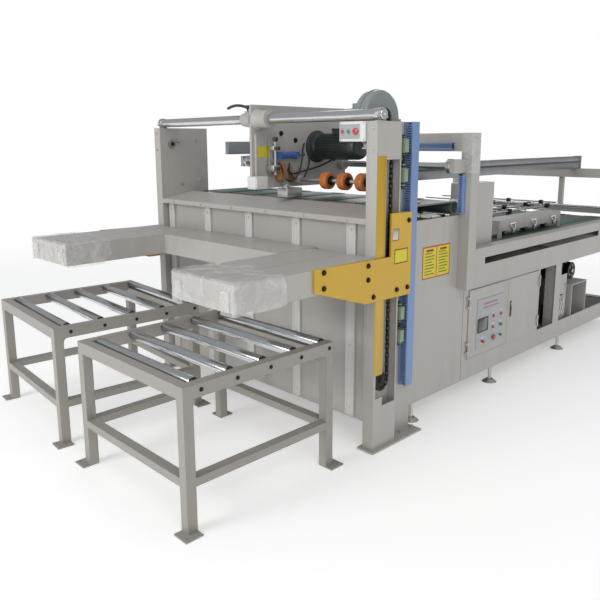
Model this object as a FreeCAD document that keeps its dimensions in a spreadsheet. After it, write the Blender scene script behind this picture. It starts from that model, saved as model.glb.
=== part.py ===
import FreeCAD, Part
import math
import os
import re
import Sketcher
from FreeCAD import Placement, Rotation, Vector

# Carton sealer: pile lift, feed head, folding bed and two free-standing roller tables.
# Frame: +X runs downstream, +Y to the far side, +Z up, in millimetres.
# The origin is on the floor below the front outer corner of the near lift post.

doc = FreeCAD.newDocument("carton_sealer")
sheet = doc.addObject("Spreadsheet::Sheet", "Dims")

SIZES = {
    # overall
    "machine_width": 2010, "post_height": 1750, "bed_end": 3750, "body_bottom": 130,
    # lift posts and side plates
    "post_width": 59, "post_depth": 196, "post_wall": 6, "slide_gap": 1.5, "slide_run": 0.3,
    "cap_height": 170,
    "slot_start": 78, "slot_length": 108, "slot_bottom": 250, "slot_top": 1560,
    "base_margin": 20, "base_plate": 12, "side_plate": 12, "side_plate_depth": 404,
    # front shelf, panel and pile guides
    "shelf_front_height": 1262, "shelf_back_height": 1302, "shelf_depth": 262, "shelf_lip": 30,
    "sheet": 6, "panel_set_back": 55, "guide_width": 66, "guide_thick": 12, "guide_first": 172,
    "guide_pitch": 422, "guide_top": 1236, "guide_bottom": 142,
    # side panels and bed
    "panel_face": 70, "side_panel_top": 1214, "gate_start": 876, "gate_depth": 90,
    "gate_top": 1697, "gate_foot": 760, "beam_height": 107, "bed_side_top": 980,
    "bed_flange": 80, "bed_level": 960, "feed_level": 1303.3,
    # windows, slot and doors in the near bed side
    "slot_low": 870, "slot_high": 912, "bed_slot_start": 1206, "bed_slot_end": 3033,
    "door_bottom": 260, "door_top": 722, "door_start": 1027, "door_split": 1530, "door_end": 1985,
    "door_thick": 12, "door_gap": 3, "window_gap": 25, "window_one": 260, "window_two_start": 2369,
    "window_two_end": 3250, "hinge_reach": 6, "hinge_radius": 6, "hinge_pin": 3,
    # belts and drums
    "drum_radius": 38, "belt_thick": 3, "belt_clear": 0.3, "belt_width": 100, "shaft_radius": 15,
    "feed_drum_x": 310, "feed_nose_x": 820, "bed_nose_x": 1010, "bed_drum_x": 3640,
    "slider_thick": 8, "first_belt": 350, "belt_pitch": 327.5, "bearing_radius": 28,
    "bearing_width": 20, "run_clear": 0.05, "hole_clear": 5,
    # lift drive
    "sprocket_x": 90, "sprocket_low": 385, "sprocket_high": 1640, "chain_pitch_radius": 52,
    "chain_half": 8, "chain_width": 14, "sprocket_y": 15, "chain_clear": 0.4,
    # platform
    "arm_length": 917, "arm_width": 457, "arm_height": 125, "arm_bottom": 944, "arm_wall": 4,
    "arm_back": -4, "deck_front": -250, "deck_back": 36, "lift_plate": 12,
    # cross shafts and feed head
    "main_shaft_x": 57, "main_shaft_z": 1783, "main_shaft_radius": 28,
    "second_shaft_x": 790, "second_shaft_z": 1505, "second_shaft_radius": 20,
    "head_y": 955, "head_thick": 16, "head_bottom": 1373, "head_top": 1867, "head_length": 836,
    "head_reach": 1000, "collar_radius": 52, "wheel_x": 350, "wheel_z": 1420, "wheel_radius": 52,
    "wheel_width": 60, "wheel_pitch": 140, "first_wheel": 385, "wheel_shaft": 12,
    "head_motor_x": 555, "head_motor_z": 1620, "head_motor_radius": 82, "head_motor_length": 390,
    # blower
    "blower_x": 258, "blower_y": 170, "blower_z": 1770, "blower_radius": 150, "blower_width": 100,
    "blower_wall": 3, "inlet_radius": 55, "impeller_radius": 110, "blower_motor_radius": 62,
    "blower_motor_length": 170, "blower_shaft": 10,
    # rear gantry and fold rail
    "rail_y": 560, "rail_width": 60, "rail_bottom": 1390, "rail_height": 110, "rail_end": 3720,
    "rear_beam": 80, "strut": 40, "cross_bar_height": 60, "bar_hole_radius": 7, "tube_wall": 5,
    # press box over the bed
    "press_start": 1740, "press_length": 990, "press_y": 272, "press_width": 156,
    "press_low": 1005, "press_height": 80, "press_wheel_radius": 22, "press_wheel_width": 40,
    "press_first": 190, "press_pitch": 330, "press_axle": 6,
    # base frame
    "rail_tube": 80, "foot_radius": 50, "foot_stud": 12,
    # drive motor
    "drive_x": 2740, "drive_z": 600, "drive_radius": 85, "drive_length": 230, "drive_y": 200,
    "pulley_radius": 70, "pulley_width": 35,
    # push buttons
    "button_radius": 11, "mushroom_radius": 20, "button_travel": 4,
    "pendant_low": 1650, "pendant_height": 100, "pendant_width": 171, "pendant_depth": 60,
    # roller tables
    "table_x": -1152, "table_y": 62, "table_length": 904, "table_width": 927, "table_top": 668,
    "table_tube": 50, "table_rail": 60, "stretcher_low": 212, "stretcher_height": 40,
    "second_table_x": -1148, "second_table_y": 1272, "second_table_turn": -4.2,
    "roller_radius": 25, "roller_first": 93, "roller_pitch": 196, "roller_drop": 15,
    "roller_axle": 8, "roller_clear": 0.3, "roller_gap": 3,
    "table_foot": 90, "table_foot_thick": 8, "anchor_radius": 6,
}
for row, (name, value) in enumerate(SIZES.items(), 1):
    sheet.set("A%d" % row, name)
    sheet.set("B%d" % row, str(value))
    sheet.setAlias("B%d" % row, name)
doc.recompute()

GUIDE_COUNT = 5
ROLLER_COUNT = 5
BELT_COUNT = 5
WHEEL_COUNT = 3
AXIS_TURNS = {"x": Rotation(Vector(0, 1, 0), 90), "y": Rotation(Vector(1, 0, 0), -90), "z": Rotation()}
nodes = []


def formula(text):
    """Turn the size names in an expression into cell references."""
    return re.sub(r"[a-z_]+", lambda word: "Dims." + word.group(0) if word.group(0) in SIZES
                  else word.group(0), str(text))


def bind(item, **values):
    """Bind properties of an object to expressions over the sheet."""
    for prop, text in values.items():
        item.setExpression(prop.replace("__", "."), formula(text))
    return item


def place(item, x, y, z):
    return bind(item, Placement__Base__x=x, Placement__Base__y=y, Placement__Base__z=z)


def box(x, y, z, dx, dy, dz):
    item = doc.addObject("Part::Box", "box")
    bind(item, Length=dx, Width=dy, Height=dz)
    return place(item, x, y, z)


def rod(axis, x, y, z, radius, length):
    """A cylinder that starts at a point and runs along +axis."""
    item = doc.addObject("Part::Cylinder", "rod")
    item.Placement = Placement(Vector(), AXIS_TURNS[axis])
    bind(item, Radius=radius, Height=length)
    return place(item, x, y, z)


def cone(axis, x, y, z, radius_one, radius_two, length):
    item = doc.addObject("Part::Cone", "cone")
    item.Placement = Placement(Vector(), AXIS_TURNS[axis])
    bind(item, Radius1=radius_one, Radius2=radius_two, Height=length)
    return place(item, x, y, z)


def fuse(*items):
    item = doc.addObject("Part::MultiFuse", "fuse")
    item.Shapes = list(items)
    item.Refine = True
    return item


def group(*items):
    item = doc.addObject("Part::Compound", "group")
    item.Links = list(items)
    return item


def cut(base, *tools):
    item = doc.addObject("Part::Cut", "cut")
    item.Base = base
    item.Tool = tools[0] if len(tools) == 1 else group(*tools)
    return item


def hollow(x, y, z, dx, dy, dz, wall, open_low="z"):
    """A sheet box open on its low z side, or a tube open at both ends along open_low."""
    low = {"x": wall, "y": wall, "z": wall}
    size = {"x": "(%s) - 2 * (%s)" % (dx, wall), "y": "(%s) - 2 * (%s)" % (dy, wall)}
    size["z"] = "(%s) - (%s)" % (dz, wall)
    low["z"] = "0"
    if open_low != "z":
        size["z"] = "(%s) - 2 * (%s)" % (dz, wall)
        low["z"] = wall
        size[open_low] = "(%s)" % {"x": dx, "y": dy}[open_low]
        low[open_low] = "0"
    inner = box("(%s) + %s" % (x, low["x"]), "(%s) + %s" % (y, low["y"]), "(%s) + %s" % (z, low["z"]),
                size["x"], size["y"], size["z"])
    return cut(box(x, y, z, dx, dy, dz), inner)


def both_sides(maker):
    """The near piece and its mirror image: maker gets a function that gives y for a near y and width."""
    near = maker(lambda y, width: "(%s)" % y)
    far = maker(lambda y, width: "machine_width - (%s) - (%s)" % (y, width))
    return near, far


def outline_body(points, thickness, y):
    """A plate cut from an outline in the X-Z plane and padded along +Y."""
    body = doc.addObject("PartDesign::Body", "plate")
    sketch = body.newObject("Sketcher::SketchObject", "outline")
    plane = [item for item in body.Origin.OriginFeatures if item.Role == "XZ_Plane"][0]
    sketch.AttachmentSupport = [(plane, "")]
    sketch.MapMode = "FlatFace"
    total = len(points)
    values = [(value_of(px), value_of(pz)) for px, pz in points]
    for index in range(total):
        start = Vector(values[index][0], values[index][1], 0)
        end = Vector(values[(index + 1) % total][0], values[(index + 1) % total][1], 0)
        sketch.addGeometry(Part.LineSegment(start, end), False)
    for index in range(total):
        sketch.addConstraint(Sketcher.Constraint("Coincident", index, 2, (index + 1) % total, 1))
    for index, (px, pz) in enumerate(points):
        for kind, text, number in (("DistanceX", px, values[index][0]), ("DistanceY", pz, values[index][1])):
            constraint = sketch.addConstraint(Sketcher.Constraint(kind, -1, 1, index, 1, number))
            sketch.setExpression("Constraints[%d]" % constraint, formula(text))
    pad = body.newObject("PartDesign::Pad", "pad")
    pad.Profile = sketch
    pad.Reversed = True
    bind(pad, Length=thickness)
    return place(body, "0", y, "0")


def value_of(text):
    """The number that an expression over the sheet gives, for a sketch's first drawing."""
    sheet.set("D1", "=" + text)
    sheet.recompute()
    value = sheet.get("D1")
    return float(getattr(value, "Value", value))


def node(label, item):
    item.Label = label
    nodes.append(item)
    return item


# ---- lift posts: two welded columns on base plates, each with a chain slot and a cap ----
def lift_post(side):
    column = hollow("0", side("slide_gap", "post_width - slide_gap"), "base_plate", "post_depth",
                    "post_width - slide_gap", "post_height - base_plate", "post_wall")
    slot = box("slot_start", side("slide_gap", "post_wall"), "slot_bottom", "slot_length", "post_wall",
               "slot_top - slot_bottom")
    window = box("post_wall + 14", side("slide_gap", "post_wall"), "sprocket_low - 85", "slot_start",
                 "post_wall", "170")
    low_hole = rod("y", "sprocket_x", side("post_width - post_wall", "post_wall"), "sprocket_low",
                   "shaft_radius + hole_clear", "post_wall")
    high_hole = rod("y", "sprocket_x", side("post_width - post_wall", "post_wall"), "sprocket_high",
                    "shaft_radius + hole_clear", "post_wall")
    base = box("-base_margin", side("-base_margin", "post_width + side_plate + 2 * base_margin"), "0",
               "side_plate_depth + 2 * base_margin", "post_width + side_plate + 2 * base_margin",
               "base_plate")
    saddle = box("main_shaft_x - 20", side("10", "40"), "post_height", "40", "40",
                 "main_shaft_z - main_shaft_radius - post_height - 0.2")
    return fuse(cut(column, slot, window, low_hole, high_hole), base, saddle)


node("lift_posts", group(*both_sides(lift_post)))


# ---- side plates: 12 mm plates behind the posts, bored for the lift shaft and idlers ----
def side_plate(side):
    plate = box("0", side("post_width", "side_plate"), "base_plate", "side_plate_depth", "side_plate",
                "post_height - base_plate")
    low_hole = rod("y", "sprocket_x", side("post_width", "side_plate"), "sprocket_low",
                   "shaft_radius + hole_clear", "side_plate")
    high_hole = rod("y", "sprocket_x", side("post_width", "side_plate"), "sprocket_high",
                    "shaft_radius + hole_clear", "side_plate")
    return cut(plate, low_hole, high_hole)


node("side_plates", group(*both_sides(side_plate)))
INNER = "post_width + side_plate"
CLEAR_WIDTH = "machine_width - 2 * (post_width + side_plate)"

# ---- front shelf: a folded sheet that rises from the lip to the feed belts ----
shelf_outline = [
    ("0", "shelf_front_height - shelf_lip"), ("0", "shelf_front_height"),
    ("shelf_depth", "shelf_back_height"), ("shelf_depth", "shelf_back_height - 50"),
    ("shelf_depth - sheet", "shelf_back_height - 50"),
    ("shelf_depth - sheet", "shelf_back_height - 1.2 * sheet"),
    ("sheet", "shelf_front_height - sheet"), ("sheet", "shelf_front_height - shelf_lip"),
]
node("front_shelf", outline_body(shelf_outline, CLEAR_WIDTH, INNER))

# ---- front panel and the five pile guides screwed to it ----
node("front_panel", box("panel_set_back", INNER, "body_bottom", "sheet", CLEAR_WIDTH,
                        "shelf_front_height - body_bottom - 2 * sheet"))
guides = []
for index in range(GUIDE_COUNT):
    guides.append(box("panel_set_back - guide_thick", "guide_first + %d * guide_pitch" % index,
                      "guide_bottom", "guide_thick", "guide_width", "guide_top - guide_bottom"))
node("pile_guides", group(*guides))


# ---- side panels: sheets of the front unit and of the bed, with doors, windows and slot ----
def front_side_sheet(side):
    return box("side_plate_depth", side("panel_face", "sheet"), "body_bottom",
               "gate_start + gate_depth - side_plate_depth", "sheet", "side_panel_top - body_bottom")


def bed_side_sheet(side):
    web = box("gate_start + gate_depth", side("panel_face", "sheet"), "body_bottom",
              "bed_end - gate_start - gate_depth", "sheet", "bed_side_top - body_bottom")
    flange = box("gate_start + gate_depth", side("panel_face", "bed_flange"), "bed_side_top - sheet",
                 "bed_end - gate_start - gate_depth", "bed_flange", "sheet")
    return fuse(web, flange)


def panel_strip(start, end, low, high):
    """One flat strip of the near bed side, which is joined up from strips round its openings."""
    return box(start, "panel_face", low, "(%s) - (%s)" % (end, start), "sheet", "(%s) - (%s)" % (high, low))


BED_START = "gate_start + gate_depth"
WINDOW_ONE_END = "door_end + window_gap + window_one"
top_rail = cut(bed_side_sheet(lambda y, width: "(%s)" % y),
               box(BED_START + " - 1", "panel_face - 1", "body_bottom - 1",
                   "bed_end - gate_start - gate_depth + 2", "bed_flange + 2", "slot_high - body_bottom + 1"))
near_strips = [
    panel_strip(BED_START, "bed_slot_start", "slot_low", "slot_high"),
    panel_strip("bed_slot_end", "bed_end", "slot_low", "slot_high"),
    panel_strip(BED_START, "bed_end", "door_top", "slot_low"),
    panel_strip(BED_START, "door_start", "door_bottom", "door_top"),
    panel_strip("door_end", "door_end + window_gap", "door_bottom", "door_top"),
    panel_strip(WINDOW_ONE_END, "window_two_start", "door_bottom", "door_top"),
    panel_strip("window_two_end", "bed_end", "door_bottom", "door_top"),
    panel_strip(BED_START, "bed_end", "body_bottom", "door_bottom"),
]
far_bed = bed_side_sheet(lambda y, width: "machine_width - (%s) - (%s)" % (y, width))
node("side_panels", group(*both_sides(front_side_sheet), top_rail, *near_strips, far_bed))


# ---- gate frame: two columns, a cross beam and the brackets of the second shaft ----
def gate_column(side):
    column = hollow("gate_start", side("0", "panel_face"), "gate_foot", "gate_depth", "panel_face",
                    "gate_top - gate_foot", "tube_wall")
    bracket = box("second_shaft_x - 40", side("panel_face - 30", "30"), "second_shaft_z - 40",
                  "gate_start - second_shaft_x + 40", "30", "80")
    return fuse(column, bracket)


gate_beam = hollow("gate_start", "panel_face", "gate_top - beam_height", "gate_depth",
                   "machine_width - 2 * panel_face", "beam_height", "tube_wall", "y")
hanger = box("gate_start + gate_depth", "rail_y", "rail_bottom", "20", "rail_width",
             "gate_top - rail_bottom")
node("gate_frame", fuse(*both_sides(gate_column), gate_beam, hanger))


# ---- slider beds under the belts, each with a round nose ----
def slider_bed(nose_x, plate_start, plate_end, level, y, width):
    axle_z = "%s - belt_thick - belt_clear - drum_radius" % level
    plate = box(plate_start, y, "%s + drum_radius - slider_thick" % axle_z,
                "(%s) - (%s)" % (plate_end, plate_start), width, "slider_thick")
    nose = rod("y", nose_x, y, axle_z, "drum_radius", width)
    bore = rod("y", nose_x, y, axle_z, "drum_radius - tube_wall", width)
    return fuse(plate, cut(nose, bore))


PANEL_INNER = "panel_face + sheet"
PANEL_WIDTH = "machine_width - 2 * (panel_face + sheet)"
feed_bed = slider_bed("feed_nose_x", "feed_drum_x + 50", "feed_nose_x", "feed_level", INNER,
                      CLEAR_WIDTH)
long_bed = slider_bed("bed_nose_x", "bed_nose_x", "bed_drum_x - 50", "bed_level", PANEL_INNER,
                      PANEL_WIDTH)
node("slider_beds", group(feed_bed, long_bed))

# ---- fold gantry: rear cross bar, struts, beam and the long fold rail ----
strut_places = ["panel_face + sheet + 10", "rail_y + rail_width + 80",
                "machine_width - panel_face - sheet - 10 - strut"]
CROSS_BAR_TOP = "bed_side_top + cross_bar_height"
struts = [box("bed_end - 50", y, CROSS_BAR_TOP, "strut", "strut",
              "rail_bottom - rear_beam - bed_side_top - cross_bar_height") for y in strut_places]
cross_bar = box("bed_end - 60", PANEL_INNER, "bed_side_top", "60", PANEL_WIDTH, "cross_bar_height")
bar_holes = []
for y_hole in ("300", "machine_width - 300"):
    for z_hole in ("bed_side_top + 15", CROSS_BAR_TOP + " - 15"):
        bar_holes.append(rod("x", "bed_end - 40", y_hole, z_hole, "bar_hole_radius", "40"))
rear_beam = hollow("bed_end - 90", "panel_face", "rail_bottom - rear_beam", "rear_beam",
                   "machine_width - 2 * panel_face", "rear_beam", "tube_wall", "y")
fold_rail = hollow("gate_start + gate_depth + 20", "rail_y", "rail_bottom",
                   "rail_end - gate_start - gate_depth - 20", "rail_width", "rail_height",
                   "tube_wall", "x")
rail_end_plate = box("rail_end", "rail_y - 8", "rail_bottom", "12", "rail_width + 16",
                     "rail_height + 8")
node("fold_gantry", group(fuse(cut(cross_bar, *bar_holes), *struts, rear_beam),
                          fuse(fold_rail, rail_end_plate)))

# ---- cross shafts: the main shaft on the post saddles, the second between the gate brackets ----
main_shaft = rod("y", "main_shaft_x", "5", "main_shaft_z", "main_shaft_radius", "machine_width - 10")
second_shaft = rod("y", "second_shaft_x", "panel_face", "second_shaft_z", "second_shaft_radius",
                   "machine_width - 2 * panel_face")
node("cross_shafts", group(main_shaft, second_shaft))

# ---- blower: hollow housing with an outlet, its motor, bracket and drum impeller ----
OUTLET_X = "blower_x + blower_radius - 68"
BLOWER_INNER_Y = "blower_y + blower_wall"
INNER_WIDTH = "blower_width - 2 * blower_wall"


def blower_outline(y, width):
    """The drum with its outlet leg, as a solid of the given width."""
    leg = box(OUTLET_X, y, "blower_z - blower_radius - 20", "68", width, "blower_radius + 20")
    return fuse(rod("y", "blower_x", y, "blower_z", "blower_radius", width), leg)


case_hollow = rod("y", "blower_x", BLOWER_INNER_Y, "blower_z", "blower_radius - blower_wall", INNER_WIDTH)
outlet_hollow = box(OUTLET_X + " + blower_wall", BLOWER_INNER_Y, "blower_z - blower_radius - 20",
                    "68 - 2 * blower_wall", INNER_WIDTH, "blower_radius + 20")
inlet = rod("y", "blower_x", "blower_y", "blower_z", "inlet_radius", "blower_wall")
shaft_hole = rod("y", "blower_x", "blower_y + blower_width - blower_wall", "blower_z",
                 "blower_shaft + hole_clear", "blower_wall")
front_cheek = cut(blower_outline("blower_y", "blower_wall"), inlet)
back_cheek = cut(blower_outline("blower_y + blower_width - blower_wall", "blower_wall"), shaft_hole)
case_wrap = cut(blower_outline(BLOWER_INNER_Y, INNER_WIDTH), case_hollow, outlet_hollow)
shelf_bracket = box("blower_x - 60", INNER, "blower_z - blower_radius - 10.2", "120",
                    "blower_y + blower_width - post_width - side_plate", "10")
node("blower_housing", group(front_cheek, case_wrap, back_cheek, shelf_bracket))
motor_body = rod("y", "blower_x", "blower_y + blower_width", "blower_z", "blower_motor_radius",
                 "blower_motor_length")
motor_shaft = rod("y", "blower_x", "blower_y + 30", "blower_z", "blower_shaft", "blower_width - 30")
node("blower_motor", fuse(motor_body, motor_shaft))
impeller_ring = cut(rod("y", "blower_x", "blower_y + 25", "blower_z", "impeller_radius", "55"),
                    rod("y", "blower_x", "blower_y + 25", "blower_z", "impeller_radius - 22", "50"))
impeller_hub = rod("y", "blower_x", "blower_y + 45", "blower_z", "2 * blower_shaft", "35")
impeller_bore = rod("y", "blower_x", "blower_y + 25", "blower_z", "blower_shaft + run_clear", "55")
node("blower_impeller", cut(fuse(impeller_ring, impeller_hub), impeller_bore))


# ---- pendant box with three buttons, on the inner face of the near side plate ----
def button(axis, x, y, z, radius, head_radius, stem, head):
    """A stem that starts at its inner end and the head that follows it, both along -axis."""
    if axis == "x":
        parts = (rod("x", "(%s) - (%s)" % (x, stem), y, z, radius, stem),
                 rod("x", "(%s) - (%s) - (%s)" % (x, stem, head), y, z, head_radius, head))
    else:
        parts = (rod("y", x, "(%s) - (%s)" % (y, stem), z, radius, stem),
                 rod("y", x, "(%s) - (%s) - (%s)" % (y, stem, head), z, head_radius, head))
    return fuse(*parts)


PENDANT_FACE = "-pendant_depth / 4"
pendant = box(PENDANT_FACE, INNER, "pendant_low", "pendant_depth", "pendant_width", "pendant_height")
pendant_bores = []
for name, share, head_radius in (("pendant_stop", "0.33", "17"), ("pendant_green", "0.62", "button_radius"),
                                 ("pendant_red", "0.85", "button_radius")):
    y_button = "post_width + side_plate + %s * pendant_width" % share
    z_button = "pendant_low + pendant_height / 2"
    pendant_bores.append(rod("x", PENDANT_FACE, y_button, z_button, "button_radius - 2 + run_clear",
                             "30 + button_travel + 1"))
    node(name, button("x", PENDANT_FACE + " + 30", y_button, z_button, "button_radius - 2", head_radius,
                      "36", "9"))
node("pendant_box", cut(pendant, *pendant_bores))

# ---- valves and wiring ducts on the near side ----
VALVE_X = "post_depth + 32"
VALVE_DEPTH = "post_width - 4"
valves = []
for low, height in ((1572, 112), (1402, 150), (664, 130), (545, 110)):
    valves.append(box(VALVE_X, "4", low, "56", VALVE_DEPTH, height))
node("valve_bodies", group(*valves))
post_duct = box("post_depth + 94", "4", "300", "62", VALVE_DEPTH, "post_height - 300")
column_duct = box("gate_start - 30", "34", "side_panel_top + 11", "30", "post_width + side_plate - 35", "235")
beam_duct = box("gate_start - 30", "120", "gate_top - beam_height + 10", "30", "machine_width - 240",
                "40")
node("wire_ducts", group(post_duct, column_duct, beam_duct))


# ---- lift chains: closed loops round the lower and upper sprockets ----
def band(radius_in, radius_out, x_one, z_one, x_two, z_two, y, width):
    """A flat band round two equal wheels, level or upright."""
    if x_one == x_two:
        span = "(%s) - (%s)" % (z_two, z_one)
        outer = box("(%s) - (%s)" % (x_one, radius_out), y, z_one, "2 * (%s)" % radius_out, width, span)
        inner = box("(%s) - (%s)" % (x_one, radius_in), y, z_one, "2 * (%s)" % radius_in, width, span)
    else:
        span = "(%s) - (%s)" % (x_two, x_one)
        outer = box(x_one, y, "(%s) - (%s)" % (z_one, radius_out), span, width, "2 * (%s)" % radius_out)
        inner = box(x_one, y, "(%s) - (%s)" % (z_one, radius_in), span, width, "2 * (%s)" % radius_in)
    ends = ((x_one, z_one), (x_two, z_two))
    outer_all = fuse(outer, *[rod("y", x, y, z, radius_out, width) for x, z in ends])
    inner_all = fuse(inner, *[rod("y", x, y, z, radius_in, width) for x, z in ends])
    return cut(outer_all, inner_all)


def lift_chain(side):
    return band("chain_pitch_radius - chain_half", "chain_pitch_radius + chain_half", "sprocket_x",
                "sprocket_low", "sprocket_x", "sprocket_high", side("sprocket_y + 2", "chain_width"),
                "chain_width")


node("lift_chains", group(*both_sides(lift_chain)))
SPROCKET_RADIUS = "chain_pitch_radius - chain_half - chain_clear"


def sprocket(side, z):
    return rod("y", "sprocket_x", side("sprocket_y", "chain_width + 4"), z, SPROCKET_RADIUS,
               "chain_width + 4")


low_shaft = rod("y", "sprocket_x", "post_wall + slide_gap + 3", "sprocket_low", "shaft_radius",
                "machine_width - 2 * (post_wall + slide_gap + 3)")
node("lift_shaft", fuse(low_shaft, *both_sides(lambda side: sprocket(side, "sprocket_low"))))


def idler(side):
    stub_start = "post_wall + slide_gap + 3"
    stub_length = "post_width + side_plate + bearing_width - post_wall - slide_gap - 3"
    stub = rod("y", "sprocket_x", side(stub_start, stub_length), "sprocket_high", "shaft_radius",
               stub_length)
    return fuse(stub, sprocket(side, "sprocket_high"))


node("lift_idlers", group(*both_sides(idler)))

# ---- bearings: flanged rings on the inner faces of the side plates and bed sides ----
FEED_AXLE_Z = "feed_level - belt_thick - belt_clear - drum_radius"
BED_AXLE_Z = "bed_level - belt_thick - belt_clear - drum_radius"


def bearing(side, x, y, z):
    ring = rod("y", x, side(y, "bearing_width"), z, "bearing_radius", "bearing_width")
    bore = rod("y", x, side(y, "bearing_width"), z, "shaft_radius + run_clear", "bearing_width")
    return cut(ring, bore)


bearings = []
for x, y, z in (("sprocket_x", INNER, "sprocket_low"), ("sprocket_x", INNER, "sprocket_high"),
                ("feed_drum_x", INNER, FEED_AXLE_Z), ("bed_drum_x", PANEL_INNER, BED_AXLE_Z)):
    bearings += both_sides(lambda side: bearing(side, x, y, z))
node("bearings", group(*bearings))


# ---- belt drums ----
def drum(x, z, y_shaft):
    shaft = rod("y", x, y_shaft, z, "shaft_radius", "machine_width - 2 * (%s)" % y_shaft)
    shell_y = "first_belt - belt_width"
    shell_length = "%d * belt_pitch + 2 * belt_width" % (BELT_COUNT - 1)
    shell = rod("y", x, shell_y, z, "drum_radius", shell_length)
    return fuse(shaft, shell)


node("feed_drum", drum("feed_drum_x", FEED_AXLE_Z, "post_width + side_plate + 2"))
node("bed_drum", drum("bed_drum_x", BED_AXLE_Z, "panel_face + sheet + 2"))

# ---- belts: five over the feed bed, five over the long bed ----
belts = []
for start, end, z in (("feed_drum_x", "feed_nose_x", FEED_AXLE_Z), ("bed_nose_x", "bed_drum_x", BED_AXLE_Z)):
    for index in range(BELT_COUNT):
        y_belt = "first_belt + %d * belt_pitch - belt_width / 2" % index
        belts.append(band("drum_radius + belt_clear", "drum_radius + belt_clear + belt_thick", start, z,
                          end, z, y_belt, "belt_width"))
node("conveyor_belts", group(*belts))

# ---- covers on the bed: the gear cover beside the gate and the press box with its cheeks ----
SLIDER_TOP = "bed_level - belt_thick - belt_clear"
gear_cover = hollow("gate_start + gate_depth + 124", "panel_face + bed_flange + 2", SLIDER_TOP, "330", "120",
                    "1385 - bed_level + belt_thick + belt_clear", "3")
press_box = hollow("press_start", "press_y", "press_low", "press_length", "press_width", "press_height",
                   "3")
legs = []
for x in ("press_start", "press_start + press_length - 40"):
    for y in ("press_y", "press_y + press_width - 15"):
        legs.append(box(x, y, SLIDER_TOP, "40", "15", "press_low - bed_level + belt_thick + belt_clear"))
WHEEL_Z = "bed_level + press_wheel_radius + 0.5"
cheeks = []
axle_bores = []
press_wheels = []
for index in range(WHEEL_COUNT):
    x_wheel = "press_start + press_first + %d * press_pitch" % index
    y_mid = "press_y + press_width / 2"
    for y in (y_mid + " - press_wheel_width / 2 - 8", y_mid + " + press_wheel_width / 2 + 2"):
        cheeks.append(box(x_wheel + " - 18", y, WHEEL_Z + " - 10", "36", "6",
                          "press_low + press_height - 3 - (%s) + 10" % WHEEL_Z))
    axle_bores.append(rod("y", x_wheel, "press_y + 4", WHEEL_Z, "press_axle + run_clear",
                          "press_width - 8"))
    wheel = rod("y", x_wheel, y_mid + " - press_wheel_width / 2", WHEEL_Z, "press_wheel_radius",
                "press_wheel_width")
    axle = rod("y", x_wheel, y_mid + " - press_wheel_width / 2 - 9", WHEEL_Z, "press_axle",
               "press_wheel_width + 18")
    press_wheels.append(node("press_wheel_%d" % (index + 1), fuse(wheel, axle)))
node("bed_covers", group(gear_cover, cut(fuse(press_box, *legs, *cheeks), *axle_bores)))

# ---- base frame: long rails, cross members and uprights behind the panels ----
RAIL_Y = "panel_face + sheet"
rails = both_sides(lambda side: box("panel_set_back + sheet", side(RAIL_Y, "rail_tube"), "body_bottom",
                                    "bed_end - panel_set_back - sheet", "rail_tube", "rail_tube"))
frame_bars = list(rails)
uprights_x = ("side_plate_depth + 10", "gate_start", "door_end + window_gap + window_one + 10",
              "bed_end - 60 - rail_tube")
for x in uprights_x:
    frame_bars.append(box(x, "panel_face + sheet + rail_tube", "body_bottom", "rail_tube",
                          "machine_width - 2 * (panel_face + sheet + rail_tube)", "rail_tube"))
    for upright in both_sides(lambda side: box(x, side(RAIL_Y, "rail_tube"), "body_bottom + rail_tube",
                                               "rail_tube", "rail_tube",
                                               "780 - body_bottom - rail_tube")):
        frame_bars.append(upright)
    frame_bars.append(box(x, RAIL_Y, "780", "rail_tube", "machine_width - 2 * (panel_face + sheet)",
                          "60"))
motor_plate = box("drive_x - 140", RAIL_Y, "drive_z - drive_radius - 10", "280", "400", "10")
motor_legs = []
for x in ("drive_x - 140", "drive_x + 130"):
    motor_legs.append(box(x, RAIL_Y, "body_bottom + rail_tube", "10", "400",
                          "drive_z - drive_radius - 10 - body_bottom - rail_tube"))
inner_tray = box("window_two_start + 20", RAIL_Y + " + 30", "body_bottom + rail_tube", "170", "6", "400")
node("base_frame", fuse(*frame_bars, motor_plate, *motor_legs, inner_tray))

# ---- levelling feet below the long rails ----
feet = []
for x in ("side_plate_depth + 100", "door_start + 400", "door_end + 500", "bed_end - 140"):
    for side_foot in both_sides(lambda side: fuse(
            cone("z", x, side("panel_face + sheet + rail_tube / 2", "0"), "0", "foot_radius",
                 "foot_radius / 2", "20"),
            rod("z", x, side("panel_face + sheet + rail_tube / 2", "0"), "20", "foot_stud",
                "body_bottom - 20"),
            rod("z", x, side("panel_face + sheet + rail_tube / 2", "0"), "body_bottom - 16",
                "1.8 * foot_stud", "16"))):
        feet.append(side_foot)
node("levelling_feet", group(*feet))

# ---- bed drive motor on its plate, with the pulley that shows through the rear window ----
drive_body = rod("y", "drive_x", "drive_y", "drive_z", "drive_radius", "drive_length")
drive_shaft = rod("y", "drive_x", "drive_y - 60", "drive_z", "shaft_radius", "60")
node("drive_motor", fuse(drive_body, drive_shaft))
pulley = cut(rod("y", "drive_x", "drive_y - 15 - pulley_width", "drive_z", "pulley_radius", "pulley_width"),
             rod("y", "drive_x", "drive_y - 15 - pulley_width", "drive_z", "shaft_radius + run_clear",
                 "pulley_width"))
node("drive_pulley", pulley)


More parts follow.
